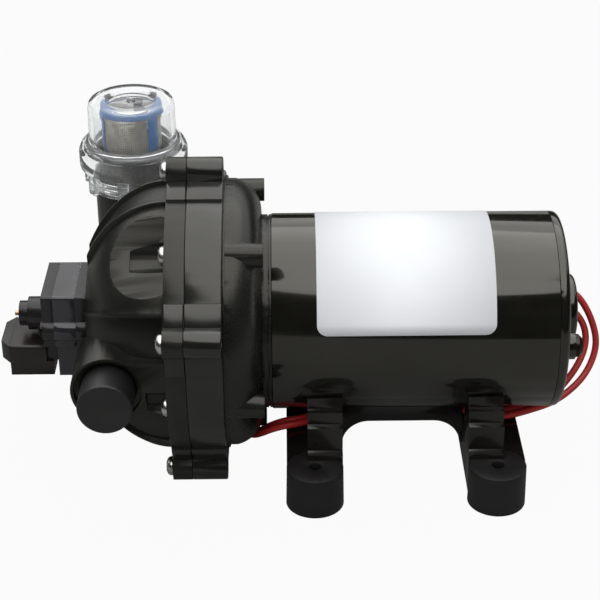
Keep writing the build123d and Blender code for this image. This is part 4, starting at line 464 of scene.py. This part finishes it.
# %% Metals
METAL_TONE_SIZE = 3 * MM
MARK_SIZE = 0.4 * MM
MARK_HEIGHT = 0.004 * MM
MARK_DETAIL = 4.0
MARK_STRENGTH = 0.5
ALONG_X = (0.15, 1, 1)


def metal(name, dark, light, smooth, rough, stretch=(1, 1, 1)):
    """A metal with drifting tone and fine marks."""
    material, shader = shader_of(name, dark, smooth, Metallic=1.0)
    drift = noise_on(material, METAL_TONE_SIZE, stretch=stretch)
    ramp_to(material, shader, drift, "Base Color", dark, light)
    marks = noise_on(material, MARK_SIZE, detail=MARK_DETAIL, stretch=stretch)
    ramp_to(material, shader, marks, "Roughness", smooth, rough)
    bump_from(material, shader, marks, MARK_STRENGTH, MARK_HEIGHT)


metal("zinc", (0.66, 0.66, 0.64), (0.80, 0.79, 0.76), 0.22, 0.36)
metal("steel", (0.42, 0.42, 0.43), (0.56, 0.56, 0.56), 0.25, 0.4, ALONG_X)
metal("brass", (0.62, 0.44, 0.16), (0.78, 0.58, 0.24), 0.2, 0.35)
metal("copper", (0.62, 0.28, 0.14), (0.74, 0.36, 0.20), 0.3, 0.45)
metal("mesh_steel", (0.42, 0.39, 0.33), (0.56, 0.52, 0.45), 0.35, 0.5)
metal("black_steel", (0.035, 0.030, 0.026), (0.06, 0.052, 0.046), 0.3, 0.42)
print("finishes with metals:", len(finishes))

# %% [markdown]
# The bowl is clear moulded plastic. A Glass shader would do, but a Principled shader with its
# transmission up takes the same helpers, and its values are constants, which the export keeps. A few
# hundredths are left out of the transmission, because real mouldings are a little milky. The grip
# lugs are thicker and milkier.

# %% Clear plastic
HAZE_STRENGTH = 0.3
HAZE_HEIGHT = 0.02 * MM


def clear_moulded(name, colour, roughness, transmission, ior, haze_mm):
    """A clear finish with a faint waviness."""
    material, shader = shader_of(name, colour, roughness, Transmission_Weight=transmission, IOR=ior)
    bump_from(material, shader, noise_on(material, haze_mm * MM), HAZE_STRENGTH, HAZE_HEIGHT)


clear_moulded("clear_plastic", (0.97, 0.985, 0.99), 0.03, 0.955, 1.42, 4)
clear_moulded("lug_plastic", (0.95, 0.965, 0.97), 0.06, 0.86, 1.45, 2)
print("finishes in all:", len(finishes))

# %% [markdown]
# Screws, mesh wires, grip lugs and lobe pads repeat, so Geometry Nodes place them: one tree, and the
# count or the radius can be changed in a single number. The helpers here write a tree in a few
# lines: a group with named inputs, a node with its links, a Math node, instances on points, and the
# end of every tree, which makes the instances real and gives them their finish.

# %% Tree helpers
def new_tree(name, inputs):
    """A node group with named inputs, each (socket type, name), and one geometry output."""
    tree = bpy.data.node_groups.new(name, "GeometryNodeTree")
    for socket_type, socket_name in inputs:
        tree.interface.new_socket(socket_name, in_out="INPUT", socket_type=socket_type)
    tree.interface.new_socket("Geometry", in_out="OUTPUT", socket_type="NodeSocketGeometry")
    given = tree.nodes.new("NodeGroupInput")
    result = tree.nodes.new("NodeGroupOutput")
    return tree, given.outputs, result.inputs[0]


def add_node(tree, kind, links=(), **values):
    """A node with constant inputs and incoming links, each (socket name or number, output)."""
    node = tree.nodes.new(kind)
    for name, value in values.items():
        node.inputs[name.replace("_", " ")].default_value = value
    for socket, source in links:
        tree.links.new(source, node.inputs[socket])
    return node


def math_node(tree, operation, *sources):
    """A Math node; a source is an output socket or a number."""
    node = tree.nodes.new("ShaderNodeMath")
    node.operation = operation
    for index, source in enumerate(sources):
        if isinstance(source, (int, float)):
            node.inputs[index].default_value = source
        else:
            tree.links.new(source, node.inputs[index])
    return node.outputs[0]


def equal_turns(tree, count):
    """The angle of each point in a full circle of count equal turns."""
    index = tree.nodes.new("GeometryNodeInputIndex").outputs[0]
    return math_node(tree, "MULTIPLY", index, math_node(tree, "DIVIDE", math.tau, count))


def put_on(tree, points, instance, *rotation):
    """Copies of a geometry on points, with a rotation for each where one is given."""
    links = [("Points", points), ("Instance", instance)]
    links += [("Rotation", angles) for angles in rotation]
    return add_node(tree, "GeometryNodeInstanceOnPoints", links).outputs[0]


def finish_tree(tree, geometry, material, result):
    """Realize the instances, set the finish and end the tree."""
    real = add_node(tree, "GeometryNodeRealizeInstances", [("Geometry", geometry)])
    dressed = add_node(tree, "GeometryNodeSetMaterial",
                       [("Geometry", real.outputs[0]), ("Material", material)])
    tree.links.new(dressed.outputs[0], result)


# %% [markdown]
# A tree is run once, on an empty mesh, and its result is kept as a plain mesh, because neither the
# frame's check nor the export wants a live modifier of this kind. The modifier's inputs are set by
# their sockets' identifiers, because a modifier doesn't know them by name.

# %% Grow a piece from a tree
def grow(name, tree, body, replaced, slot, **values):
    """Run a tree on an empty mesh, keep its result as a plain mesh and hang it on its body."""
    seed = plain_object(name + "_seed", [(0, 0, 0)], [])
    modifier = seed.modifiers.new("grow", "NODES")
    modifier.node_group = tree
    for item in tree.interface.items_tree:
        if item.in_out == "INPUT":
            modifier[item.identifier] = values[item.name.replace(" ", "_")]
    bpy.context.view_layer.update()
    evaluated = seed.evaluated_get(bpy.context.evaluated_depsgraph_get())
    mesh = bpy.data.meshes.new_from_object(evaluated)
    mesh.name = name
    bpy.data.objects.remove(seed)
    piece = linked(name, mesh)
    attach(piece, body)
    if replaced:
        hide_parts(*replaced)
    print(name, len(mesh.polygons), "faces")


# %% [markdown]
# The patterns that the trees repeat, and the bowl and basket, are turned or extruded outlines. They
# could be primitives joined by booleans, but an outline with a point at each change of slope gives
# clean quads. bmesh builds them, because it works without selecting anything in the scene.

# %% Turned and rounded shapes
MERGE_DISTANCE = 0.0005 * MM


def mesh_of(name, shape):
    """A mesh from a bmesh, which is freed."""
    mesh = bpy.data.meshes.new(name)
    shape.to_mesh(mesh)
    shape.free()
    return mesh


def turned(name, outline_mm, steps, close=True):
    """A solid of revolution about Z from (radius, height) pairs in millimetres, as a mesh object."""
    shape = bmesh.new()
    rim = [shape.verts.new((radius * MM, 0, height * MM)) for radius, height in outline_mm]
    edges = [shape.edges.new(pair) for pair in zip(rim, rim[1:])]
    if close:
        edges.append(shape.edges.new((rim[-1], rim[0])))
    bmesh.ops.spin(shape, geom=rim + edges, axis=(0, 0, 1), cent=(0, 0, 0), angle=math.tau,
                   steps=steps, use_merge=True)
    bmesh.ops.remove_doubles(shape, verts=shape.verts, dist=MERGE_DISTANCE)
    bmesh.ops.recalc_face_normals(shape, faces=shape.faces)
    return linked(name, mesh_of(name, shape))


def bridge(shape, near, far):
    """The side faces between two outlines that have the same number of points."""
    for corner in range(len(near)):
        following = (corner + 1) % len(near)
        shape.faces.new((near[corner], near[following], far[following], far[corner]))


def rounded(name, shape, radius_mm, segments):
    """An object from a bmesh whose edges are all rounded, shaded smooth."""
    bmesh.ops.bevel(shape, geom=shape.edges, offset=radius_mm * MM, segments=segments,
                    affect="EDGES", profile=0.5)
    mesh = mesh_of(name, shape)
    mesh.shade_smooth()
    return linked(name, mesh)


def keep_sharp(mesh, degrees):
    """Smooth shading with the edges past an angle left sharp."""
    mesh.shade_smooth()
    mesh.set_sharp_from_angle(angle=math.radians(degrees))


# %% [markdown]
# A pan head screw is a short turned dome with a cross pressed into it. An image of a cross would
# look flat from the side, so the head is turned once and a boolean with two tapered arms cuts a real
# recess. It points along -X, as the head's screws do, with its shank along +X.

# %% One screw
SCREW_HEAD_R = 3.7
SCREW_HEAD = 2.7
SCREW_SHANK_R = 2.0
SCREW_STEPS = 32
SCREW_CREASE = 40
HEAD_DOME = ((0.1, 0), (0, 0.25), (0, 1.0), (0.25, 1.65), (0.8, 2.2), (1.7, 2.6))
CROSS_ARM = 2.3
CROSS_WIDTH = 0.5
CROSS_DEPTH = 1.7
CROSS_FLOOR_SHARE = 0.45
CROSS_PAST_HEAD = 1
CROSS_FACES = [(3, 2, 1, 0), (4, 5, 6, 7), (0, 1, 5, 4), (1, 2, 6, 5), (2, 3, 7, 6), (3, 0, 4, 7)]


def cross_arm(name, wide, thin):
    """One tapered arm of the cross, standing in the head."""
    points = []
    for z, share in ((SCREW_HEAD - CROSS_DEPTH, CROSS_FLOOR_SHARE), (SCREW_HEAD + CROSS_PAST_HEAD, 1.0)):
        for x, y in ((-1, -1), (1, -1), (1, 1), (-1, 1)):
            points.append((x * wide * share * MM, y * thin * share * MM, z * MM))
    return plain_object(name, points, CROSS_FACES)


def make_screw(name, shank_length):
    """A pan head screw along X: its seat is at x = 0 and its head towards -X."""
    dome = [(SCREW_HEAD_R - inset, height) for inset, height in HEAD_DOME]
    outline = [(0, -shank_length), (SCREW_SHANK_R, -shank_length), (SCREW_SHANK_R, 0), *dome,
               (0, SCREW_HEAD)]
    screw = turned(name, outline, SCREW_STEPS, close=False)
    arms = [cross_arm(name + "_low_arm", CROSS_WIDTH, CROSS_ARM),
            cross_arm(name + "_high_arm", CROSS_ARM, CROSS_WIDTH)]
    for arm in arms:
        cut = screw.modifiers.new("cross", "BOOLEAN")
        cut.object = arm
        cut.operation = "DIFFERENCE"
        cut.solver = "EXACT"
    bpy.context.view_layer.update()
    mesh = bpy.data.meshes.new_from_object(screw.evaluated_get(bpy.context.evaluated_depsgraph_get()))
    for spare in (screw, *arms):
        bpy.data.objects.remove(spare)
    mesh.transform(Matrix.Rotation(math.radians(-90), 4, "Y"))
    keep_sharp(mesh, SCREW_CREASE)
    return linked(name, mesh)


# %% [markdown]
# Five screws hold the lobes and five more sit in the bays. The tree puts points round the motor
# axis, a screw on each, and gives each a small random clocking from a fixed seed, because nobody
# lines up the crosses by hand. Copying screws in a loop would work too, but the tree keeps count,
# radius and first angle as inputs, so both rings use it.

# %% Screw ring tree and the two rings
AXIS_Z = 57.3
CHAMBERS = 5
SCREW_SEAT_X = -88.8
OUTER_RING_R = 59.8
OUTER_FIRST_ANGLE = 90
INNER_RING_R = 48.0
INNER_FIRST_ANGLE = 54


def screw_ring_tree():
    """Screws round the motor axis."""
    tree, given, result = new_tree("screw_ring", [
        ("NodeSocketObject", "Screw"), ("NodeSocketInt", "Count"), ("NodeSocketFloat", "Ring radius"),
        ("NodeSocketFloat", "First angle"), ("NodeSocketFloat", "Seat X"),
        ("NodeSocketFloat", "Axis Z"), ("NodeSocketInt", "Seed"), ("NodeSocketMaterial", "Finish")])
    index = tree.nodes.new("GeometryNodeInputIndex").outputs[0]
    step = math_node(tree, "DIVIDE", math.tau, given["Count"])
    angle = math_node(tree, "MULTIPLY_ADD", index, step, given["First angle"])
    across = math_node(tree, "MULTIPLY", math_node(tree, "COSINE", angle), given["Ring radius"])
    up = math_node(tree, "MULTIPLY_ADD", math_node(tree, "SINE", angle), given["Ring radius"],
                   given["Axis Z"])
    place = add_node(tree, "ShaderNodeCombineXYZ", [(0, given["Seat X"]), (1, across), (2, up)])
    points = add_node(tree, "GeometryNodePoints",
                      [("Count", given["Count"]), ("Position", place.outputs[0])])
    screw = add_node(tree, "GeometryNodeObjectInfo", [("Object", given["Screw"])])
    screws = put_on(tree, points.outputs[0], screw.outputs["Geometry"])
    clock = add_node(tree, "FunctionNodeRandomValue", [("Seed", given["Seed"])])
    turn = math_node(tree, "MULTIPLY", clock.outputs[1], math.tau / 4)
    twist = add_node(tree, "ShaderNodeCombineXYZ", [(0, turn)])
    clocked = add_node(tree, "GeometryNodeRotateInstances",
                       [("Instances", screws), ("Rotation", twist.outputs[0])])
    finish_tree(tree, clocked.outputs[0], given["Finish"], result)
    return tree


ring_tree = screw_ring_tree()
for node_name, ring_r, first, seed in (("outer_screws", OUTER_RING_R, OUTER_FIRST_ANGLE, 3),
                                       ("inner_screws", INNER_RING_R, INNER_FIRST_ANGLE, 8)):
    shank_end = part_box(node_name)[1]
    pattern = make_screw(node_name + "_pattern", shank_end.x / MM - SCREW_SEAT_X)
    grow(node_name + "_cross", ring_tree, PUMP, [node_name], "zinc_steel", Screw=pattern,
         Count=CHAMBERS, Ring_radius=ring_r * MM, First_angle=math.radians(first),
         Seat_X=SCREW_SEAT_X * MM, Axis_Z=AXIS_Z * MM, Seed=seed, Finish=finishes["zinc"])
    bpy.data.objects.remove(pattern)

# %% [markdown]
# The strainer's screen is woven wire. A plain tube would look like a tin, and a see-through texture
# would have no thickness, so the tree crosses upright wires, set every few degrees round the circle,
# with hoops up the height. A wire's section has four sides, to keep the faces few.

# %% Woven screen
STRAINER_AT = Vector((-110.8, 100.0, 0)) * MM
WIRE_R = 0.17
WIRE_SIDES = 4
HOOP_SIDES = 64
SCREEN_HOOPS = 38
SCREEN_UPRIGHTS = 84


def wire_along(tree, curve, profile):
    """A curve given the thickness of a wire."""
    return add_node(tree, "GeometryNodeCurveToMesh",
                    [("Curve", curve.outputs[0]), ("Profile Curve", profile.outputs[0])]).outputs[0]


def screen_tree():
    """Hoops and upright wires on a cylinder."""
    tree, given, result = new_tree("screen", [
        ("NodeSocketFloat", "Radius"), ("NodeSocketFloat", "Height"), ("NodeSocketInt", "Hoops"),
        ("NodeSocketInt", "Uprights"), ("NodeSocketFloat", "Wire radius"), ("NodeSocketVector", "Place"),
        ("NodeSocketMaterial", "Finish")])
    wire = add_node(tree, "GeometryNodeCurvePrimitiveCircle", [("Radius", given["Wire radius"])],
                    Resolution=WIRE_SIDES)
    hoop = add_node(tree, "GeometryNodeCurvePrimitiveCircle", [("Radius", given["Radius"])],
                    Resolution=HOOP_SIDES)
    top = add_node(tree, "ShaderNodeCombineXYZ", [(2, given["Height"])])
    stack = tree.nodes.new("GeometryNodeMeshLine")
    stack.mode = "END_POINTS"
    tree.links.new(given["Hoops"], stack.inputs["Count"])
    tree.links.new(top.outputs[0], stack.inputs["Offset"])
    hoops = put_on(tree, stack.outputs[0], wire_along(tree, hoop, wire))
    upright = add_node(tree, "GeometryNodeCurvePrimitiveLine", [("End", top.outputs[0])])
    ring = add_node(tree, "GeometryNodeMeshCircle",
                    [("Vertices", given["Uprights"]), ("Radius", given["Radius"])])
    uprights = put_on(tree, ring.outputs[0], wire_along(tree, upright, wire))
    both = tree.nodes.new("GeometryNodeJoinGeometry")
    tree.links.new(hoops, both.inputs[0])
    tree.links.new(uprights, both.inputs[0])
    moved = add_node(tree, "GeometryNodeTransform",
                     [("Geometry", both.outputs[0]), ("Translation", given["Place"])])
    finish_tree(tree, moved.outputs[0], given["Finish"], result)
    return tree


screen_low, screen_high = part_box("strainer_mesh")
screen_r = (screen_high.x - screen_low.x) / 2 - WIRE_R * MM
grow("woven_screen", screen_tree(), "basket", ["strainer_mesh"], "zinc_steel", Radius=screen_r,
     Height=screen_high.z - screen_low.z, Hoops=SCREEN_HOOPS, Uprights=SCREEN_UPRIGHTS,
     Wire_radius=WIRE_R * MM, Place=STRAINER_AT + Vector((0, 0, screen_low.z)),
     Finish=finishes["mesh_steel"])

# %% [markdown]
# The bowl is one turned shell: a crown with a sunk middle and a nub, a straight neck, a shoulder, a
# flange, and a skirt. The skirt's thread shows through as fine rings, so rings are what is cut, and
# a true helix would look the same. Clear plastic shows every fault, so the shell is one outline,
# down the outside and up the inside, with a pole closed on the axis at each end.

# %% Clear bowl
THREAD_TURNS = 3
THREAD_PITCH = 2.2
THREAD_LOW_Z = 68.2
SKIRT_BORE = 17.75
THREAD_ROOT = 18.5
THREAD_FORM = ((SKIRT_BORE, 0), (THREAD_ROOT, 0.7), (THREAD_ROOT, 1.2), (SKIRT_BORE, 1.8))
BOWL_STEPS = 96
BOWL_CREASE = 38
bowl_outside = [
    (0, 106.0), (1.2, 105.9), (1.7, 105.5), (1.9, 104.9), (8.6, 104.8), (9.3, 105.1), (9.7, 105.9),
    (10.4, 106.5), (11.6, 106.7), (14.8, 106.7), (16.4, 106.4), (17.6, 105.7), (18.3, 104.6),
    (18.6, 103.2), (18.8, 92.0), (18.9, 89.6), (19.3, 88.5), (20.3, 87.9), (21.4, 87.4),
    (22.4, 86.3), (23.1, 84.8), (23.5, 83.6), (23.5, 77.4), (23.2, 76.5), (22.4, 76.1),
    (21.0, 75.9), (20.4, 75.4), (20.2, 74.6), (20.1, 67.5), (19.8, 67.1), (18.4, 67.0),
    (17.9, 67.2),
]
bowl_thread = [(radius, THREAD_LOW_Z + THREAD_PITCH * thread + rise)
               for thread in range(THREAD_TURNS) for radius, rise in THREAD_FORM]
bowl_inside = [
    (17.72, 76.0), (17.72, 83.1), (18.0, 83.3), (19.9, 83.35), (20.0, 83.5), (20.0, 85.4),
    (19.8, 85.6), (17.0, 85.7), (16.5, 86.0), (16.35, 86.6), (16.3, 101.0), (16.0, 102.6),
    (15.2, 103.6), (14.4, 104.0), (13.6, 104.15), (0, 104.15),
]
bowl = turned("bowl_shell", bowl_outside + bowl_thread + bowl_inside, BOWL_STEPS, close=False)
bowl.data.transform(Matrix.Translation(STRAINER_AT))
keep_sharp(bowl.data, BOWL_CREASE)
bowl.data.materials.append(finishes["clear_plastic"])
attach(bowl, "bowl")
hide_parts("strainer_bowl")
print("bowl shell:", len(bowl.data.polygons), "faces")

# %% [markdown]
# Eight lugs round the skirt give the fingers a hold. Each is a block with round edges, sunk a little
# into the skirt. They could be part of the turned shell only by a boolean, which leaves thin faces
# that clear plastic would show, so one lug is made and a tree sets copies round the skirt.

# %% Grip lugs
LUGS = 8
LUG_RING_R = 20.9
LUG_WIDTH = 5.2
LUG_DEPTH = 2.4
LUG_ROUNDING = 1.0
LUG_SEGMENTS = 4
LUG_TOP_Z = 76.4
LUG_BOTTOM_Z = 66.6
FIRST_LUG = -99


def make_lug(name):
    """One lug, a box with rounded edges, centred on the origin and standing out along X."""
    shape = bmesh.new()
    bmesh.ops.create_cube(shape, size=1)
    size = Vector((LUG_DEPTH, LUG_WIDTH, LUG_TOP_Z - LUG_BOTTOM_Z)) * MM
    bmesh.ops.scale(shape, vec=size, verts=shape.verts)
    return rounded(name, shape, LUG_ROUNDING, LUG_SEGMENTS)


def lug_tree():
    """Copies of one lug round the bowl's skirt, each facing outwards."""
    tree, given, result = new_tree("grip_lugs", [
        ("NodeSocketObject", "Lug"), ("NodeSocketInt", "Count"), ("NodeSocketFloat", "Ring radius"),
        ("NodeSocketVector", "Place"), ("NodeSocketFloat", "First angle"),
        ("NodeSocketMaterial", "Finish")])
    lug = add_node(tree, "GeometryNodeObjectInfo", [("Object", given["Lug"])])
    ring = add_node(tree, "GeometryNodeMeshCircle",
                    [("Vertices", given["Count"]), ("Radius", given["Ring radius"])])
    facing = add_node(tree, "ShaderNodeCombineXYZ", [(2, equal_turns(tree, given["Count"]))])
    lugs = put_on(tree, ring.outputs[0], lug.outputs["Geometry"], facing.outputs[0])
    clocked = add_node(tree, "ShaderNodeCombineXYZ", [(2, given["First angle"])])
    moved = add_node(tree, "GeometryNodeTransform",
                     [("Geometry", lugs), ("Translation", given["Place"]),
                      ("Rotation", clocked.outputs[0])])
    finish_tree(tree, moved.outputs[0], given["Finish"], result)
    return tree


lug_pattern = make_lug("lug_pattern")
lug_middle = Vector((0, 0, (LUG_TOP_Z + LUG_BOTTOM_Z) / 2)) * MM
grow("grip_lugs", lug_tree(), "bowl", [], "clear_plastic", Lug=lug_pattern, Count=LUGS,
     Ring_radius=LUG_RING_R * MM, Place=STRAINER_AT + lug_middle,
     First_angle=math.radians(FIRST_LUG), Finish=finishes["lug_plastic"])
bpy.data.objects.remove(lug_pattern)

# %% [markdown]
# The basket is blue and shows through the bowl: a flanged ring at the top, three upright strips and
# a foot. A cylinder with windows cut out would need booleans, so the ring and the foot are turned
# instead, and each strip is a short arc of the same wall that runs into both.

# %% Blue basket
BASKET_R = 13.0
BASKET_WALL = 0.65
BASKET_INNER_R = BASKET_R - BASKET_WALL
BASKET_TOP_Z = 103.4
BASKET_STEPS = 64
BASKET_CREASE = 40
RIM_R = BASKET_R + 0.1
RIM_DROP = 0.3
RIM_INSET = 0.2
RING_HEIGHT = 2.0
FLANGE_INNER_R = 10.6
FLANGE_THICK = 0.8
FLANGE_CHAMFER = 0.2
STRIPS = 3
STRIP_LOW_Z = 60.0
STRIP_TOP_Z = BASKET_TOP_Z - 0.4
FOOT_TOP_Z = 69.5
STRIP_HALF_ANGLE = 11.5
STRIP_STEPS = 6
FIRST_STRIP = -42


def basket_strip(shape, middle):
    """An upright strip, an arc of the basket's wall, about an angle in degrees."""
    section = ((BASKET_R, STRIP_LOW_Z), (BASKET_R, STRIP_TOP_Z), (BASKET_INNER_R, STRIP_TOP_Z),
               (BASKET_INNER_R, STRIP_LOW_Z))
    columns = []
    for step in range(STRIP_STEPS + 1):
        turn = math.radians(middle + STRIP_HALF_ANGLE * (2 * step / STRIP_STEPS - 1))
        columns.append([shape.verts.new((radius * math.cos(turn) * MM, radius * math.sin(turn) * MM,
                                         z * MM)) for radius, z in section])
    for near, far in zip(columns, columns[1:]):
        bridge(shape, near, far)
    shape.faces.new(columns[0][::-1])
    shape.faces.new(columns[-1])


def make_basket():
    """Ring, foot and strips as one mesh."""
    ring_low = BASKET_TOP_Z - RING_HEIGHT
    flange_low = BASKET_TOP_Z - FLANGE_THICK
    ring = [(FLANGE_INNER_R, flange_low), (FLANGE_INNER_R, BASKET_TOP_Z - FLANGE_CHAMFER),
            (FLANGE_INNER_R + FLANGE_CHAMFER, BASKET_TOP_Z), (BASKET_R - RIM_INSET, BASKET_TOP_Z),
            (RIM_R, BASKET_TOP_Z - RIM_DROP), (RIM_R, ring_low), (BASKET_INNER_R, ring_low),
            (BASKET_INNER_R, flange_low)]
    foot = [(BASKET_INNER_R, STRIP_LOW_Z), (BASKET_INNER_R, FOOT_TOP_Z), (RIM_R, FOOT_TOP_Z),
            (RIM_R, STRIP_LOW_Z)]
    basket = turned("basket_frame", ring, BASKET_STEPS)
    bottom = turned("basket_bottom", foot, BASKET_STEPS)
    shape = bmesh.new()
    shape.from_mesh(basket.data)
    shape.from_mesh(bottom.data)
    for strip in range(STRIPS):
        basket_strip(shape, FIRST_STRIP + 360 / STRIPS * strip)
    bmesh.ops.recalc_face_normals(shape, faces=shape.faces)
    shape.to_mesh(basket.data)
    shape.free()
    bpy.data.objects.remove(bottom)
    basket.data.transform(Matrix.Translation(STRAINER_AT))
    keep_sharp(basket.data, BASKET_CREASE)
    basket.data.materials.append(finishes["blue_plastic"])
    return basket


basket = make_basket()
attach(basket, "basket")
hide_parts("strainer_basket")
print("basket:", len(basket.data.polygons), "faces")

# %% [markdown]
# Beside each lobe the two mouldings carry a raised pad that ends in a sharp ledge. One extruded
# outline with its mirror image is the pattern, in two layers that leave the parting line open, and
# the tree puts it at each of the five lobes. Sculpting the ring itself would also show the ledge, but
# its mesh is left as it came, and a separate pad keeps its crisp edge.

# %% Lobe pads
PAD_OUTLINE = ((5.0, 54.0), (13.3, 50.5), (13.3, 54.5), (5.0, 58.0))
PAD_LAYERS = ((-88.72, -81.5), (-81.3, -67.88))
PAD_ROUNDING = 0.35
PAD_SEGMENTS = 2


def make_pads(name):
    """The pads of one lobe, which points up along Z from the motor axis."""
    shape = bmesh.new()
    for side in (-1, 1):
        for low_x, high_x in PAD_LAYERS:
            near, far = ([shape.verts.new(Vector((x, side * across, out)) * MM)
                          for across, out in PAD_OUTLINE] for x in (low_x, high_x))
            shape.faces.new(near)
            shape.faces.new(far)
            bridge(shape, near, far)
    bmesh.ops.recalc_face_normals(shape, faces=shape.faces)
    return rounded(name, shape, PAD_ROUNDING, PAD_SEGMENTS)


def pad_tree():
    """One pattern turned about the motor axis to each lobe."""
    tree, given, result = new_tree("lobe_pads", [
        ("NodeSocketObject", "Pads"), ("NodeSocketInt", "Count"), ("NodeSocketVector", "Axis"),
        ("NodeSocketMaterial", "Finish")])
    pads = add_node(tree, "GeometryNodeObjectInfo", [("Object", given["Pads"])])
    points = add_node(tree, "GeometryNodePoints",
                      [("Count", given["Count"]), ("Position", given["Axis"])])
    facing = add_node(tree, "ShaderNodeCombineXYZ", [(0, equal_turns(tree, given["Count"]))])
    all_pads = put_on(tree, points.outputs[0], pads.outputs["Geometry"], facing.outputs[0])
    finish_tree(tree, all_pads, given["Finish"], result)
    return tree


pad_pattern = make_pads("pad_pattern")
grow("lobe_pads", pad_tree(), PUMP, [], "black_plastic", Pads=pad_pattern, Count=CHAMBERS,
     Axis=Vector((0, 0, AXIS_Z)) * MM, Finish=finishes["ring_black"])
bpy.data.objects.remove(pad_pattern)

# %% [markdown]
# A CAD mesh has knife-sharp edges, and real mouldings never do: a narrow rounding on each edge is
# what catches a line of light. The mesh is loose triangles, so a Weld joins them first, then a
# Bevel rounds only the edges that turn by more than a set angle, and the faces are shaded smooth.
# Modifiers are used because they leave the CAD mesh itself as it came.

# %% Soften the CAD pieces
SOFT_ANGLE = math.radians(32)
WELD_GAP = 0.002 * MM
EDGE_SEGMENTS = 2


def soften(name, width_mm):
    """Weld a CAD node's triangles, round its sharp edges and shade it smooth."""
    piece = nodes[name]
    weld = piece.modifiers.new("weld", "WELD")
    weld.merge_threshold = WELD_GAP
    if width_mm:
        bevel = piece.modifiers.new("edge", "BEVEL")
        bevel.width = width_mm * MM
        bevel.segments = EDGE_SEGMENTS
        bevel.limit_method = "ANGLE"
        bevel.angle_limit = SOFT_ANGLE
        bevel.harden_normals = True
    piece.data.shade_smooth()


edge_widths = {
    "front_housing": 0.5, "middle_ring": 0.5, "bell_housing": 0.5, "front_adapter": 0.3,
    "motor_can": 0.3, "end_cap": 0.4, "base_stand": 0.6, "rubber_feet": 0.8,
    "outlet_cap": 0.3, "inlet_nut": 0.3, "strainer_body": 0.4, "strainer_basket": 0.15,
    "switch_back_plate": 0.4, "switch_body": 0.4, "switch_cover": 0.5, "microswitch_body": 0.4,
    "terminal_cover": 0.3, "tie_bolts": 0.2, "switch_screws": 0.2, "adjusting_screw": 0.1,
    "outer_screws": 0.2, "inner_screws": 0.2, "base_screws": 0.2, "lead_grommet": 0.3,
    "lead_receptacles": 0.3,
}
for name in nodes:
    soften(name, edge_widths.get(name, 0))
print("softened", len(edge_widths), "of", len(nodes), "nodes")

# %% [markdown]
# Each node gets its finish by name, seen or hidden, because the exploded views show the insides. One
# table for all of them is easier to check than a line per piece, and the print names any node that
# the table forgot.

# %% Give every piece its finish
finish_of = {
    "head_black": ["front_housing"],
    "ring_black": ["middle_ring"],
    "plug_black": ["outlet_cap"],
    "bell_black": ["bell_housing", "front_adapter", "strainer_body", "inlet_nut"],
    "can_paint": ["motor_can", "end_cap"],
    "stand_gloss": ["base_stand"],
    "foot_rubber": ["rubber_feet"],
    "seal_rubber": ["housing_seal", "inlet_valves", "outlet_valve", "diaphragm", "outlet_cap_oring",
                    "spigot_oring", "bowl_oring", "switch_diaphragm", "lead_grommet"],
    "switch_purple": ["switch_body"],
    "switch_black": ["switch_cover", "switch_back_plate"],
    "micro_brown": ["microswitch_body"],
    "cover_green": ["terminal_cover"],
    "white_plastic": ["valve_plate", "piston_caps", "pistons", "wobble_plate", "switch_plunger",
                      "switch_button", "cam_hub", "brush_card"],
    "blue_plastic": ["strainer_basket"],
    "clear_plastic": ["strainer_bowl"],
    "label_vinyl": ["label"],
    "red_pvc": ["lead_receptacles"],
    "ferrite": ["magnets", "upper_brush", "lower_brush"],
    "zinc": ["outer_screws", "inner_screws", "base_screws", "piston_screws"],
    "black_steel": ["tie_bolts", "switch_screws"],
    "steel": ["motor_shaft", "armature_core", "front_bearing", "rear_bearing",
              "cam_bearing", "upper_brush_spring", "lower_brush_spring", "switch_spring"],
    "mesh_steel": ["strainer_mesh"],
    "brass": ["adjusting_screw"],
    "copper": ["windings", "commutator"],
}
for finish, names in finish_of.items():
    for name in names:
        mesh = nodes[name].data
        mesh.materials.clear()
        mesh.materials.append(finishes[finish])
for lead in leads:
    lead.data.materials.append(finishes["red_pvc"])
undressed = set(nodes) - {name for names in finish_of.values() for name in names}
print("without a finish:", sorted(undressed))

# %% [markdown]
# The last cell brings the scene up to date.

# %% Bring the scene up to date
bpy.context.view_layer.update()
